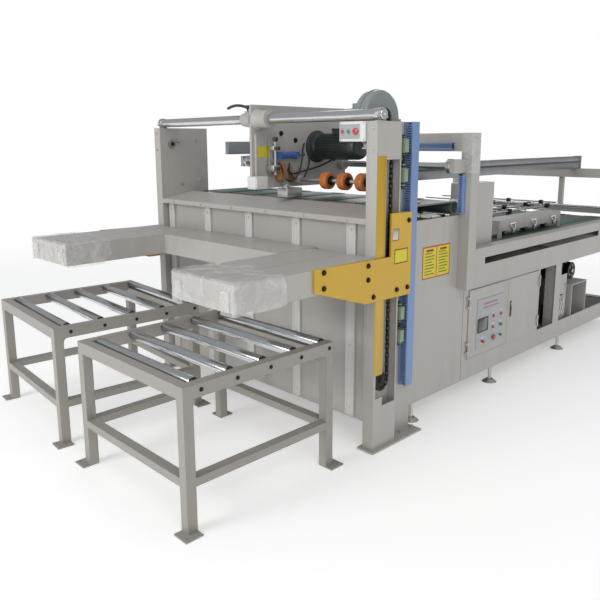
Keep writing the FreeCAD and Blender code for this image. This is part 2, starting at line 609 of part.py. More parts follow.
# ---- lift platform: two lift plates with slide blocks, two hollow arms and the deck ----
def lift_plate(y, side):
    outline = [
        ("-arm_length / 2", "arm_bottom + 16"), ("-90", "arm_bottom - 100"),
        ("post_depth + 89", "arm_bottom - 106"), ("post_depth + 89", "arm_bottom + 342"),
        ("slot_start + 32", "arm_bottom + 344"), ("slot_start + 32", "arm_bottom + 118"),
        ("-arm_length / 2", "arm_bottom + 128"),
    ]
    plate = outline_body(outline, "lift_plate", y)
    notch = box("slot_start + 44", y, "arm_bottom + 199", "54", "lift_plate", "62")
    block = box("sprocket_x + chain_pitch_radius + chain_half + 4", side("0", "post_width - 20"),
                "arm_bottom - 84",
                "slot_start + slot_length - slide_run - sprocket_x - chain_pitch_radius - chain_half - 4",
                "post_width - 20", "400")
    return fuse(cut(plate, notch), block)


node("lift_plates", group(lift_plate("-lift_plate", lambda y, width: "(%s)" % y),
                          lift_plate("machine_width",
                                     lambda y, width: "machine_width - (%s) - (%s)" % (y, width))))
node("lift_arms", group(*both_sides(lambda side: hollow(
    "arm_back - arm_length", side("0", "arm_width"), "arm_bottom", "arm_length", "arm_width", "arm_height",
    "arm_wall"))))
node("platform_deck", hollow("deck_front", "arm_width", "arm_bottom", "deck_back - deck_front",
                             "machine_width - 2 * arm_width", "arm_height", "arm_wall"))

# ---- feed head: a plate across the shafts with its collar, cone, bosses and bearing ----
head_outline = [
    ("0", "head_bottom"), ("0", "head_top"), ("head_reach", "head_top"),
    ("head_reach", "gate_top + 15"), ("head_length", "gate_top + 15"), ("head_length", "head_bottom"),
]
head_plate = outline_body(head_outline, "head_thick", "head_y")
collar = rod("y", "main_shaft_x", "head_y - 105", "main_shaft_z", "collar_radius", "105")
clamp_cone = cone("y", "main_shaft_x", "head_y + head_thick", "main_shaft_z", "collar_radius",
                  "0.7 * collar_radius", "119")
clamp_pad = box("main_shaft_x - 14", "head_y + 83", "main_shaft_z", "28", "28", "collar_radius")
second_boss = rod("y", "second_shaft_x", "head_y - 40", "second_shaft_z", "second_shaft_radius + 18", "40")
wheel_boss = rod("y", "wheel_x", "head_y - 60", "wheel_z", "wheel_shaft + 16", "60")
main_bore = rod("y", "main_shaft_x", "head_y - 105", "main_shaft_z", "main_shaft_radius + run_clear",
                "head_thick + 224")
second_bore = rod("y", "second_shaft_x", "head_y - 40", "second_shaft_z",
                  "second_shaft_radius + run_clear", "head_thick + 40")
wheel_bore = rod("y", "wheel_x", "head_y - 60", "wheel_z", "wheel_shaft + run_clear", "60 + head_thick")
node("feed_head", cut(fuse(head_plate, collar, clamp_cone, clamp_pad, second_boss, wheel_boss), main_bore,
                      second_bore, wheel_bore))

motor = rod("y", "head_motor_x", "head_y - head_motor_length", "head_motor_z", "head_motor_radius",
            "head_motor_length - 14")
flange = rod("y", "head_motor_x", "head_y - 14", "head_motor_z", "head_motor_radius + 20", "14")
terminal_box = box("head_motor_x - 45", "head_y - 0.7 * head_motor_length",
                   "head_motor_z + head_motor_radius - 10", "90", "100", "40")
node("head_motor", fuse(motor, flange, terminal_box))

foot_block = box("-40", "head_y - 75", "head_bottom + 2", "100", "75", "75")
screw_rod = rod("z", "140", "head_y - 55", "head_bottom + 80", "9", "200")
screw_block = box("110", "head_y - 75", "head_bottom + 100", "60", "75", "40")
guide_block = box("200", "head_y - 95", "head_bottom - 60", "130", "95", "58")
guide_bar = box("240", "head_y - 20", "head_bottom - 2", "40", "20", "50")
cylinder = rod("x", "190", "head_y - 30", "head_bottom + 195", "20", "150")
cylinder_lugs = [box(x, "head_y - 50", "head_bottom + 170", "12", "50", "50") for x in ("178", "340")]
bolt_spots = (("239", "head_top - 165"), ("362", "head_top - 207"), ("262", "head_top - 305"))
head_bolts = [rod("y", x, "head_y - 9", z, "13", "9") for x, z in bolt_spots]
node("head_fittings", group(foot_block, fuse(screw_rod, screw_block), fuse(guide_block, guide_bar),
                            fuse(cylinder, *cylinder_lugs), *head_bolts))

lever_stem = rod("z", "main_shaft_x", "head_y + 97", "main_shaft_z + collar_radius + 0.2", "7", "24")
lever_hub = rod("z", "main_shaft_x", "head_y + 97", "main_shaft_z + collar_radius + 14", "14", "20")
lever_arm = rod("y", "main_shaft_x", "head_y + 97", "main_shaft_z + collar_radius + 24", "9", "190")
node("clamp_lever", fuse(lever_stem, lever_hub, lever_arm))

wheel_axle = rod("y", "wheel_x", "first_wheel - 60", "wheel_z", "wheel_shaft",
                 "head_y - first_wheel + 60 + head_thick")
feed_wheels = []
for index in range(WHEEL_COUNT):
    y_wheel = "first_wheel + %d * wheel_pitch - wheel_width / 2" % index
    feed_wheels.append(rod("y", "wheel_x", y_wheel, "wheel_z", "wheel_radius", "wheel_width"))
    feed_wheels.append(rod("y", "wheel_x", y_wheel + " - 15", "wheel_z", "2 * wheel_shaft",
                           "wheel_width + 30"))
node("feed_wheels", fuse(wheel_axle, *feed_wheels))

# ---- cabinet doors with hinge knuckles, the control panel and its buttons ----
DOOR_Y = "panel_face + sheet - door_thick"
HINGE_Y = "panel_face + sheet - door_thick - hinge_reach"
HINGES = ("door_bottom + 60", "door_top - 100")


def knuckles(x, leaf_x):
    parts = []
    for z in HINGES:
        parts.append(rod("z", x, HINGE_Y, z, "hinge_radius", "40"))
        parts.append(box(leaf_x, HINGE_Y + " + 2", z, "20", "hinge_reach - 2", "40"))
    return parts


def pin_bores(x):
    return [rod("z", x, HINGE_Y, z, "hinge_pin + run_clear", "40") for z in HINGES]


LEFT_HINGE = "door_start"
RIGHT_HINGE = "door_end"
left_door = box("door_start + door_gap", DOOR_Y, "door_bottom + door_gap",
                "door_split - door_start - 1.5 * door_gap", "door_thick",
                "door_top - door_bottom - 2 * door_gap")
control_plate = box("door_start + 100", DOOR_Y + " - 2", "door_bottom + 50", "335", "2", "330")
BUTTONS = (("button_down", "408", "90", "button_radius"), ("button_up", "408", "164", "button_radius"),
           ("button_stop", "180", "90", "button_radius"), ("emergency_stop", "318", "90", "mushroom_radius"))
door_bores = []
for name, x_from_hinge, z_from_bottom, head_radius in BUTTONS:
    x_button = "door_start + %s" % x_from_hinge
    z_button = "door_bottom + %s" % z_from_bottom
    door_bores.append(rod("y", x_button, DOOR_Y + " - 2", z_button, "button_radius - 2 + run_clear",
                          "door_thick + 2"))
    node(name, button("y", x_button, DOOR_Y + " + door_thick", z_button, "button_radius - 2", head_radius,
                      "door_thick + 8", "9"))
lamps = [rod("y", "door_start + %s" % x, DOOR_Y + " - 8", "door_bottom + 240", "button_radius", "6")
         for x in ("308", "408")]
lamps.append(rod("y", "door_start + 308", DOOR_Y + " - 8", "door_bottom + 164", "button_radius", "6"))
display = box("door_start + 113", DOOR_Y + " - 5", "door_bottom + 158", "125", "3", "92")
node("cabinet_door_left", cut(fuse(left_door, control_plate, display, *lamps,
                                   *knuckles(LEFT_HINGE, "door_start")),
                              *pin_bores(LEFT_HINGE), *door_bores))
right_door = box("door_split + door_gap / 2", DOOR_Y, "door_bottom + door_gap",
                 "door_end - door_split - 1.5 * door_gap", "door_thick",
                 "door_top - door_bottom - 2 * door_gap")
latch = box("door_split + 34", DOOR_Y + " - 5", "door_bottom + 190", "14", "5", "110")
node("cabinet_door_right", cut(fuse(right_door, latch, *knuckles(RIGHT_HINGE, "door_end - 20")),
                               *pin_bores(RIGHT_HINGE)))

# ---- fasteners: hinge pins with their fixed leaves, plate bolts and table axle bolts ----
fasteners = []
for x, leaf_x in ((LEFT_HINGE, "door_start - 20"), (RIGHT_HINGE, "door_end")):
    for z in HINGES:
        parts = [rod("z", x, HINGE_Y, z + " - 20", "hinge_pin", "80")]
        for z_leaf in (z + " - 20", z + " + 40.5"):
            parts.append(rod("z", x, HINGE_Y, z_leaf, "hinge_radius", "19.5"))
            parts.append(box(leaf_x, HINGE_Y + " + 1", z_leaf, "20", "hinge_reach + door_thick - sheet - 1",
                             "19.5"))
        fasteners.append(fuse(*parts))
for x, z in (("sprocket_x + 60", "post_height - 90"), ("sprocket_x + 80", "post_height - 390")):
    fasteners += both_sides(lambda side: rod("y", x, side("post_width + side_plate", "9"), z, "14", "9"))


# ---- roller tables: welded frames on four foot plates, five rollers each ----
def table_frame():
    leg_x = ("0", "table_length - table_tube")
    leg_y = ("0", "table_width - table_tube")
    bars = []
    holes = []
    for column, x in enumerate(leg_x):
        for line, y in enumerate(leg_y):
            bars.append(box(x, y, "table_foot_thick", "table_tube", "table_tube",
                            "table_top - table_foot_thick"))
            foot_x = "%s - (table_foot - table_tube) * %d" % (x, 1 - column)
            foot_y = "%s - (table_foot - table_tube) * %d" % (y, 1 - line)
            bars.append(box(foot_x, foot_y, "0", "table_foot", "table_foot", "table_foot_thick"))
            anchor_x = "%s + table_tube * %d + 20 * %d" % (x, column, 2 * column - 1)
            anchor_y = "%s + table_tube * %d + 20 * %d" % (y, line, 2 * line - 1)
            holes.append(rod("z", anchor_x, anchor_y, "0", "anchor_radius", "table_foot_thick"))
    for y in leg_y:
        bars.append(box("0", y, "table_top - table_rail", "table_length", "table_tube", "table_rail"))
        bars.append(box("0", y, "stretcher_low", "table_length", "table_tube", "stretcher_height"))
    bars.append(box("0", "0", "table_top - table_rail", "table_tube", "table_width", "table_rail"))
    bars.append(box("table_length - table_tube", "0",
                    "table_top - table_rail - roller_radius - roller_drop - roller_gap",
                    "table_tube", "table_width", "table_rail"))
    for x in leg_x:
        bars.append(box(x, "0", "stretcher_low", "table_tube", "table_width", "stretcher_height"))
    for index in range(ROLLER_COUNT):
        x_roller = "roller_first + %d * roller_pitch" % index
        for y in ("table_tube / 2", "table_width - table_tube"):
            holes.append(rod("y", x_roller, y, "table_top - roller_drop", "roller_axle + roller_clear",
                             "table_tube / 2"))
    return cut(fuse(*bars), *holes)


def table_roller(index):
    x_roller = "roller_first + %d * roller_pitch" % index
    drum_part = rod("y", x_roller, "table_tube + roller_gap", "table_top - roller_drop", "roller_radius",
                    "table_width - 2 * table_tube - 2 * roller_gap")
    axle = rod("y", x_roller, "table_tube / 2 + 2", "table_top - roller_drop", "roller_axle",
               "table_width - table_tube - 4")
    return fuse(drum_part, axle)


def axle_bolts():
    spots = ["roller_first + %d * roller_pitch" % index for index in range(ROLLER_COUNT)]
    return group(*[rod("y", x, y, "table_top - roller_drop - 14", "9", "7")
                   for x in spots for y in ("-7", "table_width")])


def stand(item, x, y, turn):
    """Put a finished table piece at its corner on the floor, turned about the vertical."""
    item.Placement = Placement(Vector(), Rotation(Vector(0, 0, 1), value_of(turn)))
    return bind(item, Placement__Base__x=x, Placement__Base__y=y, Placement__Rotation__Angle=turn)


table_frames = []
for letter, x, y, turn in (("a", "table_x", "table_y", "0"),
                           ("b", "second_table_x", "second_table_y", "second_table_turn")):
    table_frames.append(stand(table_frame(), x, y, turn))
    for index in range(ROLLER_COUNT):
        node("roller_%s%d" % (letter, index + 1), stand(table_roller(index), x, y, turn))
    fasteners.append(stand(axle_bolts(), x, y, turn))
node("table_frames", group(*table_frames))
node("fasteners", group(*fasteners))

# ---- check every object, then write one file for each sub-part ----
doc.recompute()
for item in doc.Objects:
    if {"Invalid", "Error"} & set(item.State):
        raise RuntimeError("failed object: %s %s %s" % (item.Name, item.Label, item.State))
os.makedirs("parts", exist_ok=True)
for item in nodes:
    if item.Shape.isNull() or not item.Shape.isValid() or not item.Shape.Solids:
        raise RuntimeError("bad shape: " + item.Label)
    item.Shape.exportStep("parts/%s.step" % item.Label)
print("nodes written:", len(nodes))
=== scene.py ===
import math

import bmesh
import bpy
import numpy as np
from mathutils import Matrix, Vector


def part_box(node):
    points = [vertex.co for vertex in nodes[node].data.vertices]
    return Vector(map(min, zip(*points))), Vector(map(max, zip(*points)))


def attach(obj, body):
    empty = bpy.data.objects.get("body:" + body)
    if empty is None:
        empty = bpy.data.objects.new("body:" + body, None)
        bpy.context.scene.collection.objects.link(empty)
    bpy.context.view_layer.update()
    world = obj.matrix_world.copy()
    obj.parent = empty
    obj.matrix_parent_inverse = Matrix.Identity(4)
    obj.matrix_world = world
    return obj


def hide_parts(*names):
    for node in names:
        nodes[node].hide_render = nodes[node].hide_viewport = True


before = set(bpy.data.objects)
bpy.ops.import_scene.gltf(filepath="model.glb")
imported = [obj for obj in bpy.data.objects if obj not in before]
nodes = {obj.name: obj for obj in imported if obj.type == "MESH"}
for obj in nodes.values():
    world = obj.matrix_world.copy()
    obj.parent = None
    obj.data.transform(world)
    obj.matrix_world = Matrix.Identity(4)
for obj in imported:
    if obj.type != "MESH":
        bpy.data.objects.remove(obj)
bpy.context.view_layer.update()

scene = bpy.context.scene

# ---- camera and studio ----
# The camera stands at eye height off the near front corner and looks down the machine.
# The floor is pale and fades to the white of the room, and the light is large and soft.
eye = Vector((-2.578, -2.076, 1.650))
yaw, pitch, roll = (math.radians(angle) for angle in (45.922, 11.228, -0.318))
forward = Vector((math.cos(yaw) * math.cos(pitch), math.sin(yaw) * math.cos(pitch), -math.sin(pitch)))
level = Vector((math.sin(yaw), -math.cos(yaw), 0.0))
rise = level.cross(forward)
right = math.cos(roll) * level + math.sin(roll) * rise
upward = math.cos(roll) * rise - math.sin(roll) * level
camera = bpy.data.objects.new("camera", bpy.data.cameras.new("camera"))
camera.matrix_world = Matrix((
    (right.x, upward.x, -forward.x, eye.x), (right.y, upward.y, -forward.y, eye.y),
    (right.z, upward.z, -forward.z, eye.z), (0, 0, 0, 1)))
camera.data.sensor_width = 36.0
camera.data.lens = 39.3732
camera.data.shift_x, camera.data.shift_y = 0.00750333, -0.0463
camera.data.clip_end = 200
scene.collection.objects.link(camera)
scene.camera = camera
scene.view_settings.view_transform = "Standard"


def add(tree, kind, **values):
    """Adds a shader node. Names that start upper-case are its sockets, where a node or socket is linked
    and anything else is set; names that start lower-case are its settings."""
    made = tree.nodes.new("ShaderNode" + kind)
    for name, value in values.items():
        if name[0].islower():
            setattr(made, name, value)
    for name, value in values.items():
        if name[0].islower():
            continue
        wanted = name.replace("_", " ")
        socket = next(s for s in made.inputs if s.name == wanted and s.enabled)
        if isinstance(value, bpy.types.Node):
            value = next(s for s in value.outputs if s.enabled)
        if isinstance(value, bpy.types.NodeSocket):
            tree.links.new(value, socket)
        else:
            socket.default_value = value
    return made


def maths(tree, operation, first, second=0.0, clamp=False):
    """A Math node of two inputs."""
    made = tree.nodes.new("ShaderNodeMath")
    made.operation = operation
    made.use_clamp = clamp
    for socket, value in zip(made.inputs, (first, second)):
        if isinstance(value, bpy.types.Node):
            value = next(s for s in value.outputs if s.enabled)
        if isinstance(value, bpy.types.NodeSocket):
            tree.links.new(value, socket)
        else:
            socket.default_value = value
    return made


def ramp(tree, value, low, high):
    """0 below low and 1 above high, or the other way round where low is the greater."""
    return add(tree, "MapRange", Value=value, From_Min=low, From_Max=high)


def blank(name):
    """An empty node material and its tree."""
    material = bpy.data.materials.new(name)
    material.use_nodes = True
    material.node_tree.nodes.clear()
    return material, material.node_tree


def output(tree, shader):
    add(tree, "OutputMaterial", Surface=shader)


world = bpy.data.worlds.new("room")
world.use_nodes = True
world.node_tree.nodes.clear()
seen = add(world.node_tree, "Background", Color=(1, 1, 1, 1), Strength=1.0)
lit = add(world.node_tree, "Background", Color=(0.96, 0.98, 1.0, 1), Strength=0.40)
choice = add(world.node_tree, "MixShader", Fac=add(world.node_tree, "LightPath").outputs["Is Camera Ray"])
world.node_tree.links.new(lit.outputs[0], choice.inputs[1])
world.node_tree.links.new(seen.outputs[0], choice.inputs[2])
add(world.node_tree, "OutputWorld", Surface=choice)
scene.world = world

floor_material, tree = blank("studio_floor")
place = add(tree, "TexCoord").outputs["Object"]
far_away = ramp(tree, add(tree, "VectorMath", operation="LENGTH", Vector=place).outputs["Value"], 4.0, 9.0)
shine = add(tree, "BsdfPrincipled", Base_Color=(0.9, 0.9, 0.895, 1), Roughness=0.6,
            Emission_Color=(1, 1, 1, 1), Emission_Strength=0.34)
glow = add(tree, "Emission", Color=(1, 1, 1, 1), Strength=1.0)
blend = add(tree, "MixShader", Fac=far_away)
tree.links.new(shine.outputs[0], blend.inputs[1])
tree.links.new(glow.outputs[0], blend.inputs[2])
output(tree, blend)
floor_mesh = bpy.data.meshes.new("studio_floor")
floor_mesh.from_pydata([(-60, -60, 0), (60, -60, 0), (60, 60, 0), (-60, 60, 0)], [], [(0, 1, 2, 3)])
floor_mesh.transform(Matrix.Translation((1.3, 1.0, -0.0005)))
floor = bpy.data.objects.new("studio_floor", floor_mesh)
floor.data.materials.append(floor_material)
scene.collection.objects.link(floor)

for name, spot, target, width, power in (
        ("key", (-3.0, -5.5, 5.5), (0.8, 0.6, 0.8), 4.5, 128),
        ("front", (-7.0, 1.5, 3.6), (0.0, 1.0, 0.8), 3.5, 215),
        ("top", (1.5, 1.0, 7.0), (1.5, 1.0, 0.0), 5.0, 42),
        ("rear", (7.5, 5.5, 5.0), (1.5, 1.0, 0.8), 4.0, 120)):
    lamp = bpy.data.lights.new(name, "AREA")
    lamp.shape = "DISK"
    lamp.size = width
    lamp.energy = power
    lamp_object = bpy.data.objects.new(name, lamp)
    lamp_object.location = spot
    lamp_object.rotation_euler = (Vector(target) - Vector(spot)).to_track_quat("-Z", "Y").to_euler()
    scene.collection.objects.link(lamp_object)


# ---- welded and folded steelwork in the maker's enamel ----
# Posts, panels, frames, gate and gantry are cut and bent steel sheet and tube, sprayed warm off-white.
# The enamel has a fine orange peel, rubs thin along its edges and holds dust in its broad faces.
def group_sockets(name, inputs, outputs):
    """A new shader group with these named inputs and outputs, and its two end nodes."""
    tree = bpy.data.node_groups.new(name, "ShaderNodeTree")
    for label, kind, value in inputs:
        socket = tree.interface.new_socket(label, in_out="INPUT", socket_type=kind)
        socket.default_value = value
    for label, kind in outputs:
        tree.interface.new_socket(label, in_out="OUTPUT", socket_type=kind)
    return tree, tree.nodes.new("NodeGroupInput"), tree.nodes.new("NodeGroupOutput")


# shop_wear: broad cloudy dust, dust that has run downwards, and a fine grain, all on Object coordinates.
wear, ends_in, ends_out = group_sockets(
    "shop_wear",
    [("Colour", "NodeSocketColor", (0.5, 0.5, 0.5, 1)), ("Dust", "NodeSocketColor", (0.3, 0.28, 0.25, 1)),
     ("Amount", "NodeSocketFloat", 0.3), ("Grain", "NodeSocketFloat", 90.0),
     ("Gloss", "NodeSocketFloat", 0.35)],
    [("Colour", "NodeSocketColor"), ("Roughness", "NodeSocketFloat"), ("Height", "NodeSocketFloat")])
place = add(wear, "TexCoord").outputs["Object"]
cloud = add(wear, "TexNoise", Vector=place, Scale=2.3, Detail=6.0, Roughness=0.62)
tall = add(wear, "Mapping", Vector=place, Scale=(14.0, 14.0, 1.1))
streak = add(wear, "TexNoise", Vector=tall, Scale=1.0, Detail=4.0, Roughness=0.6)
speck = add(wear, "TexNoise", Vector=place, Scale=46.0, Detail=3.0, Roughness=0.7)
grain = add(wear, "TexNoise", Vector=place, Scale=ends_in.outputs["Grain"], Detail=2.0)
dusty = maths(wear, "MULTIPLY", ramp(wear, cloud, 0.38, 0.74), ramp(wear, streak, 0.36, 0.72))
dusty = maths(wear, "ADD", dusty, maths(wear, "MULTIPLY", ramp(wear, speck, 0.66, 0.8), 0.5))
dusty = maths(wear, "MULTIPLY", dusty, ends_in.outputs["Amount"], clamp=True)
shade = add(wear, "Mix", data_type="RGBA", Factor=dusty, A=ends_in.outputs["Colour"],
            B=ends_in.outputs["Dust"])
tone = maths(wear, "ADD", maths(wear, "MULTIPLY", cloud, 0.12), 0.94)
toned = add(wear, "VectorMath", operation="SCALE", Scale=tone)
wear.links.new(shade.outputs[2], toned.inputs[0])
wear.links.new(toned.outputs[0], ends_out.inputs["Colour"])
rough = maths(wear, "ADD", ends_in.outputs["Gloss"], maths(wear, "MULTIPLY", dusty, 0.5))
rough = maths(wear, "ADD", rough, maths(wear, "MULTIPLY", speck, 0.06))
wear.links.new(rough.outputs[0], ends_out.inputs["Roughness"])
wear.links.new(grain.outputs[0], ends_out.inputs["Height"])

# edge_wear: 1 along sharp edges, where the normal rounded over a few millimetres leaves the flat one.
edges, ends_in, ends_out = group_sockets(
    "edge_wear", [("Radius", "NodeSocketFloat", 0.004), ("Strength", "NodeSocketFloat", 0.5)],
    [("Mask", "NodeSocketFloat"), ("Normal", "NodeSocketVector")])
rounded = add(edges, "Bevel", samples=4, Radius=ends_in.outputs["Radius"])
true_normal = add(edges, "NewGeometry").outputs["True Normal"]
agreement = add(edges, "VectorMath", operation="DOT_PRODUCT")
edges.links.new(rounded.outputs[0], agreement.inputs[0])
edges.links.new(true_normal, agreement.inputs[1])
place = add(edges, "TexCoord").outputs["Object"]
broken = ramp(edges, add(edges, "TexNoise", Vector=place, Scale=23.0, Detail=5.0), 0.42, 0.62)
mask = maths(edges, "MULTIPLY", ramp(edges, agreement.outputs["Value"], 0.985, 0.8), broken)
mask = maths(edges, "MULTIPLY", mask, ends_in.outputs["Strength"], clamp=True)
edges.links.new(mask.outputs[0], ends_out.inputs["Mask"])
edges.links.new(rounded.outputs[0], ends_out.inputs["Normal"])


def place_group(tree, group, **values):
    """Puts a node group into a material with these input values."""
    made = tree.nodes.new("ShaderNodeGroup")
    made.node_tree = group
    for name, value in values.items():
        made.inputs[name].default_value = value
    return made


def enamel(name, colour, gloss=0.34, dust=(0.30, 0.27, 0.23), amount=0.35, bare=(0.23, 0.22, 0.21),
           edge=0.5, grain=110.0, bump=0.0004, coat=0.15):
    """Sprayed enamel on steel, or moulded plastic where the edge wear is small."""
    material, tree = blank(name)
    dirt = place_group(tree, wear, Colour=(*colour, 1), Dust=(*dust, 1), Amount=amount, Grain=grain,
                       Gloss=gloss)
    rubbed = place_group(tree, edges, Radius=0.004, Strength=edge)
    colour_mix = add(tree, "Mix", data_type="RGBA", Factor=rubbed.outputs["Mask"], A=dirt.outputs["Colour"],
                     B=(*bare, 1))
    relief = add(tree, "Bump", Strength=0.5, Distance=bump, Height=dirt.outputs["Height"],
                 Normal=rubbed.outputs["Normal"])
    output(tree, add(tree, "BsdfPrincipled", Base_Color=colour_mix, Roughness=dirt.outputs["Roughness"],
                     Normal=relief, Coat_Weight=coat, Coat_Roughness=0.25))
    return material


def dress(material, *names):
    """Gives CAD nodes a material, and hands it back."""
    for name in names:
        for material_slot in nodes[name].material_slots:
            material_slot.material = material
    return material


machine_paint = enamel("machine_enamel", (0.462, 0.441, 0.411))
dress(machine_paint, "base_frame", "lift_posts", "side_plates", "front_shelf", "front_panel", "side_panels",
      "gate_frame", "fold_gantry", "bed_covers", "lift_arms", "platform_deck", "feed_head",
      "cabinet_door_left", "cabinet_door_right")


# ---- bright and dark metals ----
# Ground steel, chromed tube, zinc-plated and blackened parts all carry fine marks from their tools.
def brushed(name, colour, roughness, stretch, depth=0.00012, dust=0.25, fleck=(0.09, 0.075, 0.06)):
    """Bare metal with marks drawn out along the axes where stretch is small, and thin oil and dust."""
    material, tree = blank(name)
    place = add(tree, "TexCoord").outputs["Object"]
    drawn = add(tree, "Mapping", Vector=place, Scale=stretch)
    marks = add(tree, "TexNoise", Vector=drawn, Scale=1.0, Detail=5.0, Roughness=0.7)
    dirt = place_group(tree, wear, Colour=(*colour, 1), Dust=(*fleck, 1), Amount=dust, Grain=260.0,
                       Gloss=roughness)
    relief = add(tree, "Bump", Strength=0.6, Distance=depth, Height=marks)
    rough = maths(tree, "ADD", dirt.outputs["Roughness"], maths(tree, "MULTIPLY", marks, 0.14))
    rough = maths(tree, "SUBTRACT", rough, 0.07, clamp=True)
    output(tree, add(tree, "BsdfPrincipled", Base_Color=dirt.outputs["Colour"], Metallic=1.0,
                     Roughness=rough, Normal=relief))
    return material


chrome = dress(brushed("hard_chrome", (0.72, 0.72, 0.73), 0.16, (900.0, 14.0, 900.0), dust=0.18),
               *[f"roller_{letter}{index}" for letter in "ab" for index in range(1, 6)])
ground_steel = dress(brushed("ground_steel", (0.50, 0.49, 0.47), 0.34, (420.0, 420.0, 30.0)),
                     "bearings", "cross_shafts", "bed_drum", "feed_drum")
zinc = dress(brushed("zinc_plate", (0.60, 0.60, 0.58), 0.38, (160.0, 160.0, 160.0), dust=0.35),
             "levelling_feet", "head_fittings")
black_steel = dress(brushed("oiled_black_steel", (0.045, 0.042, 0.04), 0.42, (220.0, 220.0, 220.0),
                            dust=0.3, fleck=(0.10, 0.08, 0.06)),
                    "lift_chains", "lift_shaft", "lift_idlers", "fasteners", "drive_pulley")
drawn_aluminium = dress(brushed("drawn_aluminium", (0.70, 0.70, 0.69), 0.33, (600.0, 600.0, 12.0)),
                        "blower_impeller")
guide_paint = dress(enamel("guide_enamel", (0.66, 0.65, 0.62), gloss=0.28, amount=0.25), "pile_guides")
YELLOW = (0.62, 0.375, 0.004)
yellow_paint = dress(enamel("yellow_enamel", YELLOW, gloss=0.3, amount=0.12, coat=0.4,
                            bare=(0.20, 0.16, 0.08)), "lift_plates")
table_paint = dress(enamel("table_enamel", (0.335, 0.313, 0.284), amount=0.5, gloss=0.4), "table_frames")
motor_paint = dress(enamel("motor_enamel", (0.018, 0.030, 0.030), gloss=0.3, dust=(0.12, 0.11, 0.09),
                           amount=0.3, bare=(0.10, 0.10, 0.09)), "drive_motor", "head_motor")
blower_paint = dress(enamel("blower_enamel", (0.25, 0.285, 0.295), gloss=0.32, amount=0.3),
                     "blower_housing", "blower_motor")
white_plastic = dress(enamel("white_plastic", (0.74, 0.74, 0.72), gloss=0.4, amount=0.15, edge=0.0),
                      "pendant_box")
valve_paint = dress(enamel("valve_enamel", (0.24, 0.33, 0.21), gloss=0.3, amount=0.2), "valve_bodies")
duct_plastic = dress(enamel("duct_plastic", (0.19, 0.30, 0.55), gloss=0.42, amount=0.25, edge=0.1),
                     "wire_ducts")
black_plastic = dress(enamel("black_plastic", (0.022, 0.022, 0.022), gloss=0.36,
                             dust=(0.16, 0.15, 0.13), amount=0.2, edge=0.1),
                      "clamp_lever", "press_wheel_1", "press_wheel_2", "press_wheel_3")
red_plastic = dress(enamel("red_plastic", (0.55, 0.025, 0.02), gloss=0.22, amount=0.1, edge=0.0, coat=0.5),
                    "button_stop", "emergency_stop", "pendant_stop", "pendant_red")
green_plastic = dress(enamel("green_plastic", (0.01, 0.22, 0.13), gloss=0.22, amount=0.1, edge=0.0,
                             coat=0.5), "button_down", "button_up", "pendant_green")
orange_rubber = dress(enamel("orange_polyurethane", (0.56, 0.155, 0.025), gloss=0.45,
                             dust=(0.30, 0.22, 0.15), amount=0.35, edge=0.0, grain=300.0), "feed_wheels")


# ---- lift posts: the yellow guard strip, the base welds and the chain with its sprockets ----
# A yellow strip is riveted beside the slot of each post. Inside runs a single roller chain, oiled black,
# over a toothed sprocket at each end, and the post is welded to its base plate with a fillet all round.
machine_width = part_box("lift_posts")[0].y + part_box("lift_posts")[1].y


def loft(rings, closed=False):
    """Skin over a stack of rings of equal length: point (i, j) joins its neighbours in quads. The two ends
    are capped with a strip of quads across the ring, or joined to each other where closed is set."""
    rings = np.asarray(rings, float)
    count, around = rings.shape[:2]
    i, j = np.meshgrid(np.arange(count if closed else count - 1), np.arange(around), indexing="ij")
    after, beside = (i + 1) % count, (j + 1) % around
    quads = np.stack([i * around + j, i * around + beside, after * around + beside, after * around + j], -1)
    quads = quads.reshape(-1, 4)
    if not closed:
        k = np.arange((around - 1) // 2)
        cap = np.stack([k, around - 1 - k, (around - 2 - k), k + 1], -1)
        last = (count - 1) * around
        quads = np.concatenate([quads, cap, last + cap[:, ::-1]])
    return rings.reshape(-1, 3), quads


def circle(count, radius=1.0):
    """Points round a circle."""
    angle = 2 * np.pi * np.arange(count) / count
    return radius * np.stack([np.cos(angle), np.sin(angle)], -1)


def rounded_rectangle(width, height, radius, steps=4):
    """Quarter circles about the four inset corners, anticlockwise from the first."""
    angle = (np.arange(4)[:, None] + np.linspace(0, 1, steps)[None]) * np.pi / 2
    inset_x, inset_y = width / 2 - radius, height / 2 - radius
    centre = np.array([(inset_x, inset_y), (-inset_x, inset_y), (-inset_x, -inset_y), (inset_x, -inset_y)])
    arc = radius * np.stack([np.cos(angle), np.sin(angle)], -1)
    return (centre[:, None] + arc).reshape(-1, 2)


def lay(outline, axis, depth):
    """Puts flat outline points into space at these depths along an axis, one ring a depth."""
    first, second = {"x": (1, 2), "y": (2, 0), "z": (0, 1)}[axis]
    depth = np.atleast_1d(np.asarray(depth, float))
    outline = np.broadcast_to(outline, (len(depth), *np.shape(outline)[-2:]))
    rings = np.zeros((*outline.shape[:2], 3))
    rings[..., first] = outline[..., 0]
    rings[..., second] = outline[..., 1]
    rings[..., "xyz".index(axis)] = depth[:, None]
    return rings


